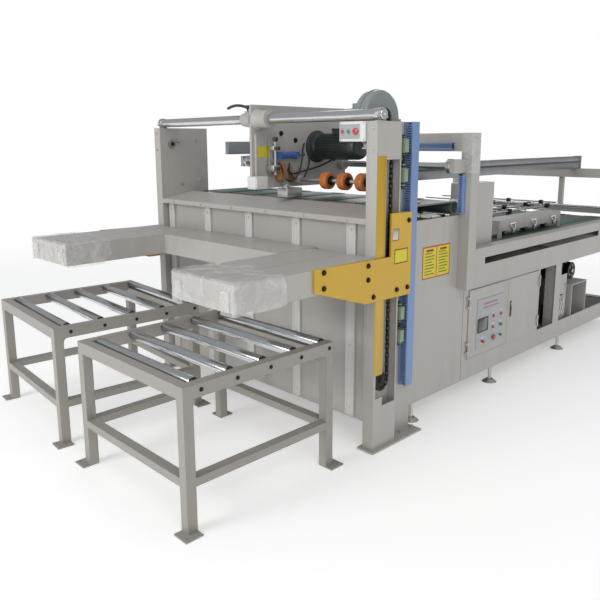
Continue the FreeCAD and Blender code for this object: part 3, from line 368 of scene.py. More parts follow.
def block(low, high, edge=0.0015, axis="z", corner=None):
    """A rectangular bar with rounded edges: its rounded outline carried along an axis, drawn in at both
    ends by a quarter circle."""
    low, high = np.asarray(low, float), np.asarray(high, float)
    corner = edge if corner is None else corner
    first, second = {"x": (1, 2), "y": (2, 0), "z": (0, 1)}[axis]
    along = "xyz".index(axis)
    size = high - low
    edge = min(edge, 0.45 * size.min())
    corner = min(max(corner, edge), 0.49 * min(size[first], size[second]))
    bend = np.array([0.0, 0.5, 1.0]) * np.pi / 2
    inset = edge * (1 - np.sin(bend))
    depth = edge * (1 - np.cos(bend))
    insets = np.concatenate([inset, inset[::-1]])
    depths = np.concatenate([low[along] + depth, (high[along] - depth)[::-1]])
    full = rounded_rectangle(size[first], size[second], corner)
    scale = 1 - 2 * insets[:, None, None] / np.array([size[first], size[second]])
    rings = lay(full[None] * scale, axis, depths)
    rings[..., first] += (low[first] + high[first]) / 2
    rings[..., second] += (low[second] + high[second]) / 2
    return loft(rings)


def turned(profile, centre, axis, count=40):
    """A lathe shape: each (along, radius) pair of the profile is a circle about the axis."""
    profile = np.asarray(profile, float)
    rings = lay(circle(count)[None] * np.maximum(profile[:, 1], 1e-5)[:, None, None], axis, profile[:, 0])
    return loft(rings + np.asarray(centre, float))


def ringed(profile, centre, axis, count=40):
    """A lathe shape whose profile is a closed loop, so that it has a bore."""
    profile = np.asarray(profile, float)
    rings = lay(circle(count)[None] * profile[:, 1][:, None, None], axis, profile[:, 0])
    return loft(rings + np.asarray(centre, float), closed=True)


def rod(low, high, radius, centre, axis, count=40):
    """A plain cylinder from low to high along an axis."""
    return turned([(low, 0), (low, radius), (high, radius), (high, 0)], centre, axis, count)


def sleeve(low, high, bore, radius, centre, axis, count=40):
    """A plain ring from low to high along an axis."""
    return ringed([(low, bore), (low, radius), (high, radius), (high, bore)], centre, axis, count)


def joined(*shapes):
    """Several shapes as one."""
    starts = np.cumsum([0] + [len(points) for points, _ in shapes[:-1]])
    return (np.concatenate([points for points, _ in shapes]),
            np.concatenate([quads + start for (_, quads), start in zip(shapes, starts)]))


def copies(shape, spots, turns=None):
    """A shape repeated at each spot, turned first by one 3 x 3 matrix for each where turns is given."""
    points, quads = shape
    spots = np.asarray(spots, float).reshape(-1, 3)
    if turns is None:
        moved = points[None] + spots[:, None]
    else:
        moved = np.einsum("kab,nb->kna", np.asarray(turns), points) + spots[:, None]
    offsets = np.arange(len(spots))[:, None, None] * len(points)
    return moved.reshape(-1, 3), (quads[None] + offsets).reshape(-1, 4)


def turns_about_y(angles):
    """One matrix for each angle, which turns +Z towards +X."""
    turns = np.zeros((len(angles), 3, 3))
    turns[:, 0, 0] = turns[:, 2, 2] = np.cos(angles)
    turns[:, 0, 2], turns[:, 2, 0] = np.sin(angles), -np.sin(angles)
    turns[:, 1, 1] = 1
    return turns


def mirrored(shape, width=machine_width):
    """The same shape on the far side of something this wide."""
    points, quads = shape
    return points * (1, -1, 1) + (0, width, 0), quads[:, ::-1]


def both(shape):
    """A shape on the near side and on the far side of the machine."""
    return joined(shape, mirrored(shape))


def piece(name, body, parts, replaces=(), crease=32):
    """One mesh of several (shape, material) parts that rides on a body. Its doubled points are merged,
    its faces are turned outwards, and edges sharper than crease degrees stay sharp."""
    points, quads = joined(*[shape for shape, _ in parts])
    mesh = bpy.data.meshes.new(name)
    mesh.from_pydata(points, [], quads.tolist())
    mesh.polygons.foreach_set("material_index", np.repeat(
        np.arange(len(parts)), [len(shape[1]) for shape, _ in parts]).astype(np.int32))
    for _, material in parts:
        mesh.materials.append(material)
    mesh.validate()
    builder = bmesh.new()
    builder.from_mesh(mesh)
    bmesh.ops.remove_doubles(builder, verts=builder.verts, dist=2e-5)
    bmesh.ops.recalc_face_normals(builder, faces=builder.faces)
    builder.to_mesh(mesh)
    builder.free()
    mesh.shade_smooth()
    mesh.set_sharp_from_angle(angle=math.radians(crease))
    made = bpy.data.objects.new(name, mesh)
    scene.collection.objects.link(made)
    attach(made, body)
    if replaces:
        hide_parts(*replaces)
    return made


def hex_bolt(axis, side, size=0.009):
    """A hexagon head with a chamfered crown on a round washer, at the origin, facing side (+1 or -1)
    along the axis."""
    washer = turned([(0, 0), (0, 1.25 * size), (0.12 * size, 1.3 * size), (0.25 * size, 1.25 * size),
                     (0.25 * size, 0)], (0, 0, 0), axis, 20)
    rings = lay(circle(6, size)[None] * np.array([1.0, 1.0, 0.86])[:, None, None], axis,
                np.array([0.25, 0.75, 0.9]) * size)
    shape = joined(washer, loft(rings))
    points = shape[0].copy()
    points[:, "xyz".index(axis)] *= side
    return points, shape[1] if side > 0 else shape[1][:, ::-1]


strip = block((0.003, 0.0002, 0.430), (0.074, 0.0014, 1.578), 0.0005)
rivet_spots = [(0.012, 0.0002, z) for z in np.linspace(0.47, 1.55, 10)]
rivet = turned([(0, 0), (-0.00015, 0.002), (0, 0.004), (0.001, 0.004)], (0, 0, 0), "y", 12)
guard_paint = enamel("guard_enamel", YELLOW, gloss=0.3, amount=0.12, coat=0.4, edge=0.0)
strip = joined(strip, copies(rivet, rivet_spots))
for side, shape in (("near", strip), ("far", mirrored(strip))):
    piece(f"post_guard_{side}", "root", [(shape, guard_paint)])

LOW_SPROCKET, HIGH_SPROCKET, SPROCKET_X, CHAIN_RADIUS = 0.385, 1.640, 0.090, 0.052
LINKS = 112
rise_run = HIGH_SPROCKET - LOW_SPROCKET
arc_run = math.pi * CHAIN_RADIUS
loop = 2 * (rise_run + arc_run)


def chain_place(s):
    """Place and direction at a distance round the loop: up the front run, over the upper arc, down the
    rear run and round the lower arc."""
    s = np.mod(s, loop)
    on_top = (s - rise_run) / CHAIN_RADIUS
    below = (s - 2 * rise_run - arc_run) / CHAIN_RADIUS
    where = [s < rise_run, s < rise_run + arc_run, s < 2 * rise_run + arc_run]
    x = np.select(where, [-CHAIN_RADIUS, -CHAIN_RADIUS * np.cos(on_top), CHAIN_RADIUS],
                  CHAIN_RADIUS * np.cos(below))
    z = np.select(where, [LOW_SPROCKET + s, HIGH_SPROCKET + CHAIN_RADIUS * np.sin(on_top),
                          HIGH_SPROCKET - (s - rise_run - arc_run)],
                  LOW_SPROCKET - CHAIN_RADIUS * np.sin(below))
    return x + SPROCKET_X, z


link_pitch = loop / LINKS
pin_x, pin_z = chain_place(np.arange(LINKS) * link_pitch)
next_x, next_z = np.roll(pin_x, -1), np.roll(pin_z, -1)
turns = turns_about_y(-np.arctan2(next_z - pin_z, next_x - pin_x))
CHAIN_Y = 0.024
spots = np.stack([(pin_x + next_x) / 2, np.full(LINKS, CHAIN_Y), (pin_z + next_z) / 2], -1)
pin_spots = np.stack([pin_x, np.full(LINKS, CHAIN_Y), pin_z], -1)
waist = circle(16, 0.0074)
waist[:, 1] += np.sign(waist[:, 1]) * link_pitch / 2
waist[:, 0] *= 1 - 0.22 * np.exp(-(waist[:, 1] / 0.006) ** 2)


def link_plates(offset):
    """Two waisted plates, one each side of the chain's middle, with softened rims."""
    rims = waist[None] * np.array([0.9, 1, 1, 0.9])[:, None, None]
    plate = loft(lay(rims, "y", np.array([-0.0010, -0.0006, 0.0006, 0.0010])))
    return copies(plate, [(0, -offset, 0), (0, offset, 0)])


rollers = copies(rod(-0.0035, 0.0035, 0.0048, (0, 0, 0), "y", 12), pin_spots)
pins = copies(rod(-0.0090, 0.0090, 0.0024, (0, 0, 0), "y", 10), pin_spots)
chain = joined(copies(link_plates(0.0072), spots[::2], turns[::2]),
               copies(link_plates(0.0049), spots[1::2], turns[1::2]), rollers, pins)
piece("roller_chains", "root", [(both(chain), black_steel)],
      ["lift_chains"])


def toothed_disc(centre, half_width=0.003, teeth=13, root=0.0405, tip=0.0462, bore=0.012):
    """A ring whose outer edge swings between root and tip radius, flat-topped, once a tooth."""
    angle = 2 * np.pi * np.arange(teeth * 8) / (teeth * 8)
    swing = np.clip(0.5 + 0.9 * np.cos(teeth * angle), 0, 1)
    radius = root + (tip - root) * swing
    outer = np.stack([np.cos(angle), np.sin(angle)], -1) * radius[:, None]
    inner = circle(len(angle), bore)
    rings = lay(np.stack([inner, outer * 0.97, outer, outer * 0.97, inner]), "y",
                np.array([-1, -1, 0, 1, 1]) * half_width)
    return loft(rings + np.asarray(centre, float), closed=True)


def hub(centre, inner_y, outer_y, radius):
    """A boss with chamfered ends."""
    return turned([(inner_y, 0), (inner_y, radius * 0.9), (inner_y + 0.002, radius),
                   (outer_y - 0.002, radius), (outer_y, radius * 0.9), (outer_y, 0)], centre, "y", 28)


low_near = joined(toothed_disc((SPROCKET_X, CHAIN_Y, LOW_SPROCKET)),
                  hub((SPROCKET_X, 0, LOW_SPROCKET), 0.016, 0.034, 0.024))
high_near = joined(toothed_disc((SPROCKET_X, CHAIN_Y, HIGH_SPROCKET)),
                   hub((SPROCKET_X, 0, HIGH_SPROCKET), 0.016, 0.034, 0.024),
                   hub((SPROCKET_X, 0, HIGH_SPROCKET), 0.0105, 0.091, 0.015))
shaft_bar = hub((SPROCKET_X, 0, LOW_SPROCKET), 0.0105, machine_width - 0.0105, 0.015)
piece("lift_shaft_with_sprockets", "lift_shaft", [(joined(both(low_near), shaft_bar), black_steel)],
      ["lift_shaft"])
piece("idler_sprockets", "lift_idlers", [(both(high_near), black_steel)],
      ["lift_idlers"])

# Fillet welds round the foot of each post: a bead of overlapping half-round ripples.
rng = np.random.default_rng(11)


def weld(start, end, radius=0.0035):
    """A bead between two points: a round section whose radius swells with each ripple."""
    start, end = np.asarray(start, float), np.asarray(end, float)
    length = np.linalg.norm(end - start)
    count = max(int(length / 0.0035), 8)
    t = np.linspace(0, 1, count)
    way = (end - start) / length
    side = np.array([-way[1], way[0], 0]) if abs(way[2]) < 0.9 else np.array([1.0, 0, 0])
    over = np.cross(way, side)
    swell = radius * (1 + 0.16 * np.sin(np.arange(count) * np.pi / 2) + 0.10 * rng.standard_normal(count))
    swell[[0, -1]] *= 0.3
    ring = circle(8)
    offset = ring[None, :, :1] * side + ring[None, :, 1:] * over
    return loft((start + t[:, None] * (end - start))[:, None] + swell[:, None, None] * offset)


PLATE_TOP = 0.012
beads = [weld((*start, PLATE_TOP), (*end, PLATE_TOP)) for start, end in (
    ((0, 0.0015), (0.196, 0.0015)), ((0, 0.0015), (0, 0.071)), ((0, 0.071), (0.404, 0.071)),
    ((0.196, 0.059), (0.404, 0.059)))]
beads = joined(*beads, weld((0.197, 0.0575, 0.05), (0.197, 0.0575, 1.70), 0.003))
piece("post_welds", "root", [(both(beads), machine_paint)])
shapes = joined(copies(hex_bolt("z", 1, 0.011), [(x, 0.035, PLATE_TOP) for x in (0.30, 0.405)]),
                copies(hex_bolt("x", -1, 0.007), [(0.0, 0.030, z) for z in (1.715, 1.60)]))
piece("post_bolts", "root", [(both(shapes), zinc)])


# ---- front unit: the guides' ridges and screws, and bolts along the shelf's lip and on the side plates ----
# Five light guides are screwed to the front panel from above and below; each is a channel with rolled
# edges, so the pile slides up along two rounded ridges.
GUIDES, GUIDE_FIRST, GUIDE_PITCH, GUIDE_WIDTH = 5, 0.172, 0.422, 0.066
guide_low, guide_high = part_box("pile_guides")
ridge = block((0.0425, 0, guide_low.z + 0.001), (0.046, 0.013, guide_high.z - 0.001), 0.0016)
screw = turned([(0, 0), (-0.0012, 0.0035), (-0.0022, 0.0068), (0, 0.0078), (0.001, 0.0078)],
               (0, 0, 0), "x", 16)
ridges, screws = [], []
for index in range(GUIDES):
    start = GUIDE_FIRST + index * GUIDE_PITCH
    ridges.append(copies(ridge, [(-0.0016, start + 0.001, 0), (-0.0016, start + GUIDE_WIDTH - 0.014, 0)]))
    screws.append(copies(screw, [(0.0428, start + GUIDE_WIDTH / 2, z) for z in (0.19, 0.55, 0.90, 1.19)]))
piece("guide_ridges", "root", [(joined(*ridges), guide_paint), (joined(*screws), zinc)])

# Stitch bolts along the shelf's lip and the plate bolts of the two side plates.
lip_bolt = hex_bolt("x", -1, 0.0065)
lip_spots = [(0.0, y, 1.247) for y in np.linspace(0.20, machine_width - 0.20, 6)]
plate_bolt = hex_bolt("y", 1, 0.010)
plate_spots = [(0.30, 0.071, 1.66), (0.33, 0.071, 1.38), (0.15, 0.080, 1.66), (0.17, 0.080, 1.36)]
piece("front_bolts", "root", [(joined(copies(lip_bolt, lip_spots), both(copies(plate_bolt, plate_spots))),
                               zinc)])


# ---- lift platform: arms and deck of folded sheet, yellow lift plates with their bolts ----
# The lift plates are 12 mm plate, bolted to the arms' sides and to the slide blocks in the posts.
# Clear film from the shop still wraps the arms' free ends, crumpled and coming loose.
def crumple(first, second, seed, waves=13, reach=(4.0, 20.0)):
    """Ridged noise over a sheet: folded straight waves in random directions, so that creases are sharp
    lines where each wave turns over. About -1 to 1."""
    draw = np.random.default_rng(seed)
    total, weight = 0.0, 0.0
    for step in range(waves):
        count = reach[0] * (reach[1] / reach[0]) ** (step / (waves - 1))
        angle, phase = draw.uniform(0, np.pi), draw.uniform(0, 1)
        wave = (first * np.cos(angle) + second * np.sin(angle)) * count + phase
        across = first * np.sin(angle) - second * np.cos(angle)
        wave = wave + 0.22 * np.sin(5.1 * count * across + 6 * phase)
        total = total + (4 * np.abs(wave - np.floor(wave + 0.5)) - 1) / count
        weight += 1 / count
    return total / weight * 1.9


film, tree = blank("clear_film")
place = add(tree, "TexCoord").outputs["Object"]
milk = add(tree, "TexNoise", Vector=place, Scale=7.0, Detail=4.0, Roughness=0.55, Distortion=1.2)
veil = maths(tree, "ADD", maths(tree, "MULTIPLY", ramp(tree, milk, 0.35, 0.7), 0.34), 0.20)
fine = add(tree, "TexVoronoi", feature="DISTANCE_TO_EDGE", Vector=milk.outputs["Color"], Scale=6.0)
crease = add(tree, "Bump", Strength=0.5, Distance=0.006, Height=fine.outputs["Distance"])
output(tree, add(tree, "BsdfPrincipled", Base_Color=(0.86, 0.86, 0.83, 1), Roughness=0.07, IOR=1.46,
                 Alpha=veil, Normal=crease, Coat_Weight=0.6, Coat_Roughness=0.08))


def surface_piece(name, body, points, material):
    """An open sheet of points in rows and columns, joined in quads."""
    rows, columns = points.shape[:2]
    i, j = np.meshgrid(np.arange(rows - 1), np.arange(columns - 1), indexing="ij")
    first = i * columns + j
    quads = np.stack([first, first + 1, first + columns + 1, first + columns], -1)
    mesh = bpy.data.meshes.new(name)
    mesh.from_pydata(points.reshape(-1, 3), [], quads.reshape(-1, 4).tolist())
    mesh.materials.append(material)
    mesh.shade_smooth()
    mesh.set_sharp_from_angle(angle=math.radians(24))
    made = bpy.data.objects.new(name, mesh)
    scene.collection.objects.link(made)
    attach(made, body)
    return made


ARM_X, ARM_WIDTH, ARM_LOW, ARM_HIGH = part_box("lift_arms")[0].x, 0.457, 0.944, 1.069


def arm_wrap(seed, back):
    """Film round an arm's end. u runs up the outer side, over the top and down the inner side; v runs
    towards the free end and then folds down over it, fanning round its two top corners."""
    side, edge, corner = ARM_HIGH - ARM_LOW, 0.012, 0.03
    u = np.linspace(-edge, 2 * side + ARM_WIDTH + edge, 150)
    u, v = np.meshgrid(u, np.linspace(0, 1, 84))
    loose = back + 0.045 * crumple(u * 1.3, 0 * u, seed + 1, 6, (2.0, 9.0))
    along = loose + v * (ARM_X - loose - side - 0.004)
    past = np.maximum(ARM_X - along, 0)
    top_face = (u >= side) & (u <= side + ARM_WIDTH)
    # The fold turns from sideways to downwards over the round of each top corner.
    tilt = (np.clip((u - side) / corner * 0.5 + 0.5, 0, 1)
            * np.clip((side + ARM_WIDTH - u) / corner * 0.5 + 0.5, 0, 1)) * np.pi / 2
    fan = np.clip(1 - np.abs(u - side) / 0.035, 0, 1) * (u < side)
    inward = np.where(u < side + ARM_WIDTH / 2, 1.0, -1.0)
    tuck = np.minimum(past, 0.085 + 0.02 * fan)
    puff = 0.0062 + 0.0060 * crumple(u, along + 0.3 * past, seed) + 0.003 * top_face * (past <= 0)
    puff = np.maximum(puff, 0.0008)
    x = np.maximum(along, ARM_X) - np.where(past > 0, puff + 0.0012 * (1 - tilt / np.pi * 2), 0.0)
    y = np.clip(u - side, 0, ARM_WIDTH) + inward * np.cos(tilt) * tuck
    y = y - np.where((past > 0) | top_face, 0.0, inward * puff)
    z = ARM_LOW + np.clip(u, -edge, side) - np.clip(u - side - ARM_WIDTH, 0, side + edge)
    z = z - np.sin(tilt) * np.minimum(past, side * 0.98) + np.where((past <= 0) & top_face, puff, 0.0)
    return np.stack([x, y, z], -1)


near_wrap = arm_wrap(21, -0.66)
far_wrap = arm_wrap(57, -0.64) * (1, -1, 1) + (0, machine_width, 0)
for name, points in (("arm_film_near", near_wrap), ("arm_film_far", far_wrap)):
    made = surface_piece(name, "lift", points, film)

platform_bolt = hex_bolt("y", -1, 0.011)
near_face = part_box("lift_plates")[0].y
bolt_spots = [(-0.395, near_face, 1.050), (-0.395, near_face, 0.974), (-0.072, near_face, 1.039),
              (-0.072, near_face, 0.967), (-0.028, near_face, 0.872), (0.257, near_face, 1.242),
              (0.165, near_face, 0.880), (0.257, near_face, 0.880)]
shapes = copies(platform_bolt, bolt_spots)
guide_block = block((0.126, near_face + 0.0005, 1.146), (0.172, near_face + 0.0115, 1.203), 0.002)
piece("lift_plate_bolts", "lift", [(both(shapes), black_steel),
                                   (both(guide_block), zinc)])
seam = block((ARM_X + 0.004, 0.198, ARM_HIGH - 0.0004), (-0.0045, 0.2005, ARM_HIGH + 0.0006), 0.0003)
deck_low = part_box("platform_deck")[0]
shapes = joined(seam, weld((deck_low.x, 0.4572, ARM_HIGH), (-0.004, 0.4572, ARM_HIGH), 0.002),
                weld((deck_low.x, 0.4566, ARM_LOW + 0.01), (deck_low.x, 0.4566, ARM_HIGH), 0.0025))
piece("arm_seams", "lift", [(both(shapes), machine_paint)])

label_yellow = enamel("label_yellow", (0.70, 0.58, 0.01), gloss=0.3, amount=0.15, edge=0.0)
label_red = enamel("label_red", (0.50, 0.03, 0.02), gloss=0.3, amount=0.15, edge=0.0)
label_black = enamel("label_black", (0.02, 0.02, 0.02), gloss=0.35, amount=0.15, edge=0.0)


def sticker(low, high, face, thick=0.0006):
    """A thin patch with rounded corners on a face that looks towards -Y; low and high are (x, z)."""
    outline = rounded_rectangle(high[1] - low[1], high[0] - low[0], 0.003)
    rings = lay(outline, "y", [0.0, -thick])
    return loft(rings + np.array([(low[0] + high[0]) / 2, face, (low[1] + high[1]) / 2]))


frame_bars = [sticker(low, high, near_face - 0.0004) for low, high in (
    ((0.140, 1.020), (0.2525, 1.0225)), ((0.140, 1.0925), (0.2525, 1.095)),
    ((0.140, 1.020), (0.1425, 1.095)), ((0.250, 1.020), (0.2525, 1.095)))]
piece("lift_plate_label", "lift",
      [(sticker((0.138, 1.018), (0.2545, 1.097), near_face, 0.0005), label_yellow),
       (joined(*frame_bars), label_black)])


# ---- feed and bed belts: a woven cover for the belts ----
# Green belts with a fine woven face run over steel slider plates; each belt is joined by a skived seam.
def woven_belt(name, colour, thread, pitch=0.0035):
    """Belt cover with a weave: two crossed waves in the plane of the belt."""
    material, tree = blank(name)
    place = add(tree, "TexCoord").outputs["Object"]
    dirt = place_group(tree, wear, Colour=(*colour, 1), Dust=(0.22, 0.20, 0.16, 1), Amount=0.55,
                       Grain=300.0, Gloss=0.5)
    axes = add(tree, "SeparateXYZ", Vector=place)
    warp = maths(tree, "SINE", maths(tree, "MULTIPLY", axes.outputs["X"], 2 * math.pi / pitch))
    weft = maths(tree, "SINE", maths(tree, "MULTIPLY", axes.outputs["Y"], 2 * math.pi / pitch))
    weave = maths(tree, "MULTIPLY", warp, weft)
    thread_mask = maths(tree, "MULTIPLY", ramp(tree, weave, 0.1, 0.9), 0.35)
    colour_mix = add(tree, "Mix", data_type="RGBA", Factor=thread_mask, A=dirt.outputs["Colour"],
                     B=(*thread, 1))
    relief = add(tree, "Bump", Strength=0.5, Distance=0.0003, Height=weave)
    output(tree, add(tree, "BsdfPrincipled", Base_Color=colour_mix, Roughness=dirt.outputs["Roughness"],
                     Normal=relief))
    return material


dress(woven_belt("belt_cover", (0.022, 0.115, 0.075), (0.06, 0.20, 0.14)), "conveyor_belts")


# ---- shafts: a thick chromed main shaft across the posts and a thinner one at the gate ----
# Both are ground and hard chromed, with chamfered ends and a centre hole.
def bar(low_y, high_y, radius, x, z, count=56):
    """A ground bar with chamfers, and a countersunk centre hole in each end."""
    chamfer = 0.0025
    return turned([(low_y + 0.008, 0), (low_y, radius * 0.22), (low_y, radius - chamfer),
                   (low_y + chamfer, radius), (high_y - chamfer, radius), (high_y, radius - chamfer),
                   (high_y, radius * 0.22), (high_y - 0.008, 0)], (x, 0, z), "y", count)


MAIN_X, MAIN_Z, MAIN_RADIUS = 0.057, 1.783, 0.028
SECOND_X, SECOND_Z, SECOND_RADIUS = 0.790, 1.505, 0.020
main_bar = bar(0.005, machine_width - 0.005, MAIN_RADIUS, MAIN_X, MAIN_Z)
second_bar = bar(0.070, machine_width - 0.070, SECOND_RADIUS, SECOND_X, SECOND_Z)
piece("chromed_shafts", "root", [(joined(main_bar, second_bar), chrome)], ["cross_shafts"])
collar = ringed([(0.071, 0.0201), (0.071, 0.040), (0.074, 0.043), (0.100, 0.043), (0.103, 0.040),
                 (0.103, 0.0201)], (SECOND_X, 0, SECOND_Z), "y", 32)
strap = sleeve(0.018, 0.042, 0.0283, 0.0335, (MAIN_X, 0, MAIN_Z), "y", 36)
ears = [block((MAIN_X + x, 0.018, 1.7665), (MAIN_X + x + 0.017, 0.042, 1.7735), 0.001)
        for x in (-0.047, 0.030)]
piece("shaft_collars", "root", [(both(joined(collar, strap, *ears)), zinc)])


# ---- feed head: motor, clamp, adjusting gear and the three orange feed wheels ----
# A cast and machined plate slides along both shafts. It carries a ribbed motor, a clamp with a lever,
# a threaded height adjuster over the foot block, a small blue air cylinder and the wheels' axle.
HEAD_Y, HEAD_PLATE = 0.955, 0.9545


def ribbed(low, high, radius, depth, centre, axis="y", ribs=44):
    """A motor body: its radius alternates between rib and groove round the axis, and both ends are
    drawn in to a plain round shoulder."""
    angle = 2 * np.pi * np.arange(ribs * 6) / (ribs * 6)
    wave = np.clip(0.5 + 1.6 * np.cos(ribs * angle), 0, 1)
    around = np.stack([np.cos(angle), np.sin(angle)], -1)
    ribbed_ring = around * (radius - depth * (1 - wave))[:, None]
    plain = around * (radius - 1.15 * depth)
    end = [plain * 0.6, plain * 0.94, plain, ribbed_ring]
    depths = np.array([low, low, low + 0.004, low + 0.006, high - 0.006, high - 0.004, high, high])
    return loft(lay(np.stack([*end, *end[::-1]]), axis, depths) + np.asarray(centre, float))


def tube_along(points, radius, count=12):
    """A round tube along a Catmull-Rom curve through the points, with rings square to the curve."""
    points = np.asarray(points, float)
    padded = np.concatenate([2 * points[:1] - points[1:2], points, 2 * points[-1:] - points[-2:-1]])
    t = np.linspace(0, 1, 9)[:-1][None, :, None]
    a, b, c, d = (padded[k:len(padded) - 3 + k][:, None] for k in range(4))
    line = 0.5 * (2 * b + (c - a) * t + (2 * a - 5 * b + 4 * c - d) * t ** 2
                  + (3 * b - a - 3 * c + d) * t ** 3)
    line = np.concatenate([line.reshape(-1, 3), points[-1:]])
    way = np.gradient(line, axis=0)
    way /= np.linalg.norm(way, axis=1, keepdims=True)
    pole = np.array([0.13, 0.31, 0.94]) / np.linalg.norm([0.13, 0.31, 0.94])
    side = np.cross(way, pole)
    side /= np.linalg.norm(side, axis=1, keepdims=True)
    over = np.cross(side, way)
    ring = circle(count, radius)
    return loft(line[:, None] + ring[None, :, :1] * side[:, None] + ring[None, :, 1:] * over[:, None])


motor_centre = (0.555, 0, 1.620)
motor_parts = joined(
    ribbed(0.640, 0.905, 0.082, 0.007, motor_centre),
    turned([(0.565, 0), (0.565, 0.050), (0.569, 0.062), (0.580, 0.076), (0.596, 0.081), (0.642, 0.0815),
            (0.644, 0.079), (0.644, 0)], motor_centre, "y", 56),
    turned([(0.900, 0), (0.900, 0.076), (0.906, 0.080), (0.936, 0.084), (0.941, 0.100), (0.943, 0.102),
            (0.953, 0.102), (0.955, 0.100), (0.955, 0)], motor_centre, "y", 56))
terminal = joined(block((0.510, 0.682, 1.692), (0.600, 0.782, 1.722), 0.004, corner=0.008),
                  block((0.507, 0.679, 1.722), (0.603, 0.785, 1.732), 0.003, corner=0.010))
gland = turned([(0.600, 0), (0.600, 0.011), (0.618, 0.011), (0.620, 0.008), (0.628, 0.008), (0.628, 0)],
               (0, 0.715, 1.706), "x", 16)
# The cowl's slots are thin black strips on its end, painted shade for the openings.
COWL_SLOTS = 16
cowl_slot_shade = copies(block((-0.0012, 0.5645, 0.020), (0.0012, 0.5662, 0.052), 0.0004),
                    np.tile(motor_centre, (COWL_SLOTS, 1)),
                    turns_about_y(2 * np.pi * np.arange(COWL_SLOTS) / COWL_SLOTS))
piece("feed_motor", "head", [(joined(motor_parts, terminal), motor_paint),
                             (joined(gland, cowl_slot_shade), black_plastic)], ["head_motor"])

near_boss = ringed([(0.8494, 0.0282), (0.8494, 0.0494), (0.852, 0.0526), (0.928, 0.0526), (0.946, 0.058),
                    (0.9548, 0.066), (0.9548, 0.0282)], (MAIN_X, 0, MAIN_Z), "y", 48)
far_boss = ringed([(0.9712, 0.0282), (0.9712, 0.066), (0.980, 0.058), (0.990, 0.0525), (1.060, 0.043),
                   (1.088, 0.038), (1.090, 0.036), (1.090, 0.0282)], (MAIN_X, 0, MAIN_Z), "y", 48)
web = joined(block((0.120, 0.9712, 1.400), (0.135, 0.985, 1.840), 0.002),
             block((0.150, 0.9712, 1.846), (0.980, 0.985, 1.866), 0.002),
             block((0.020, 0.939, 1.385), (0.034, 0.9552, 1.70), 0.002))
piece("head_bosses", "head", [(joined(near_boss, far_boss, web), machine_paint)])

foot = joined(block((-0.040, 0.880, 1.375), (0.060, 0.954, 1.450), 0.004),
              block((-0.034, 0.874, 1.384), (-0.006, 0.8805, 1.440), 0.002))
adjuster = joined(
    turned([(1.453, 0), (1.453, 0.0085),
            *[(1.455 + 0.003 * step, 0.0078 + 0.0010 * (step % 2)) for step in range(64)],
            (1.650, 0.0085), (1.653, 0.006), (1.653, 0)], (0.140, 0.900, 0), "z", 20),
    block((0.112, 0.884, 1.474), (0.168, 0.953, 1.512), 0.003),
    block((0.118, 0.890, 1.600), (0.162, 0.953, 1.626), 0.003),
    block((0.122, 0.936, 1.452), (0.158, HEAD_PLATE, 1.668), 0.002))
knobs = joined(
    turned([(1.654, 0), (1.654, 0.012), (1.656, 0.016), (1.670, 0.018), (1.678, 0.016), (1.681, 0.010),
            (1.681, 0)], (0.140, 0.900, 0), "z", 24),
    *[turned([(0.864, 0), (0.864, 0.009), (0.867, 0.012), (0.876, 0.012), (0.879, 0.007), (end, 0.007),
              (end, 0)], (0.140, 0, z), "y", 20) for z, end in ((1.493, 0.884), (1.613, 0.890))])
guide_parts = joined(block((0.200, 0.862, 1.315), (0.330, 0.952, 1.371), 0.003),
                     block((0.240, 0.935, 1.371), (0.280, HEAD_PLATE, 1.424), 0.002),
                     block((0.205, 0.870, 1.371), (0.232, 0.905, 1.396), 0.002))
phenolic_sheet, tree = blank("phenolic_block")
dirt = place_group(tree, wear, Colour=(0.42, 0.17, 0.06, 1), Dust=(0.15, 0.08, 0.04, 1), Amount=0.4,
                   Grain=200.0, Gloss=0.4)
place = add(tree, "TexCoord").outputs["Object"]
layers = add(tree, "TexWave", Vector=place, Scale=90.0, Distortion=1.5, bands_direction="Z")
relief = add(tree, "Bump", Strength=0.3, Distance=0.0002, Height=layers.outputs["Fac"])
output(tree, add(tree, "BsdfPrincipled", Base_Color=dirt.outputs["Colour"],
                 Roughness=dirt.outputs["Roughness"], Normal=relief))
phenolic = joined(block((0.186, 0.905, 1.420), (0.232, HEAD_PLATE, 1.520), 0.003),
                  block((0.300, 0.938, 1.400), (0.318, HEAD_PLATE, 1.500), 0.002))
piece("head_adjuster", "head",
      [(foot, white_plastic), (adjuster, zinc), (knobs, black_plastic), (guide_parts, drawn_aluminium),
       (phenolic, phenolic_sheet)], ["head_fittings"])
blue_cylinder = enamel("cylinder_blue", (0.02, 0.11, 0.42), gloss=0.25, amount=0.15, edge=0.2, coat=0.3)
cylinder_axis = (0, 0.925, 1.568)
air_cylinder = joined(
    turned([(0.196, 0), (0.196, 0.018), (0.198, 0.0195), (0.332, 0.0195), (0.334, 0.018), (0.334, 0)],
           cylinder_axis, "x", 32),
    *[block((x, 0.903, 1.546), (x + 0.022, HEAD_PLATE, 1.590), 0.002, axis="x") for x in (0.178, 0.328)])
cylinder_rod = turned([(0.350, 0), (0.350, 0.006), (0.392, 0.006), (0.394, 0.009), (0.412, 0.009),
                       (0.412, 0)], cylinder_axis, "x", 20)
piece("head_cylinder", "head", [(air_cylinder, blue_cylinder), (cylinder_rod, chrome)])
head_bolts = [(x, HEAD_Y, z) for x, z in ((0.239, 1.702), (0.362, 1.660), (0.262, 1.562), (0.720, 1.700),
                                          (0.720, 1.540))]
piece("head_plate_bolts", "head", [(copies(hex_bolt("y", -1, 0.0125), head_bolts), black_steel)])
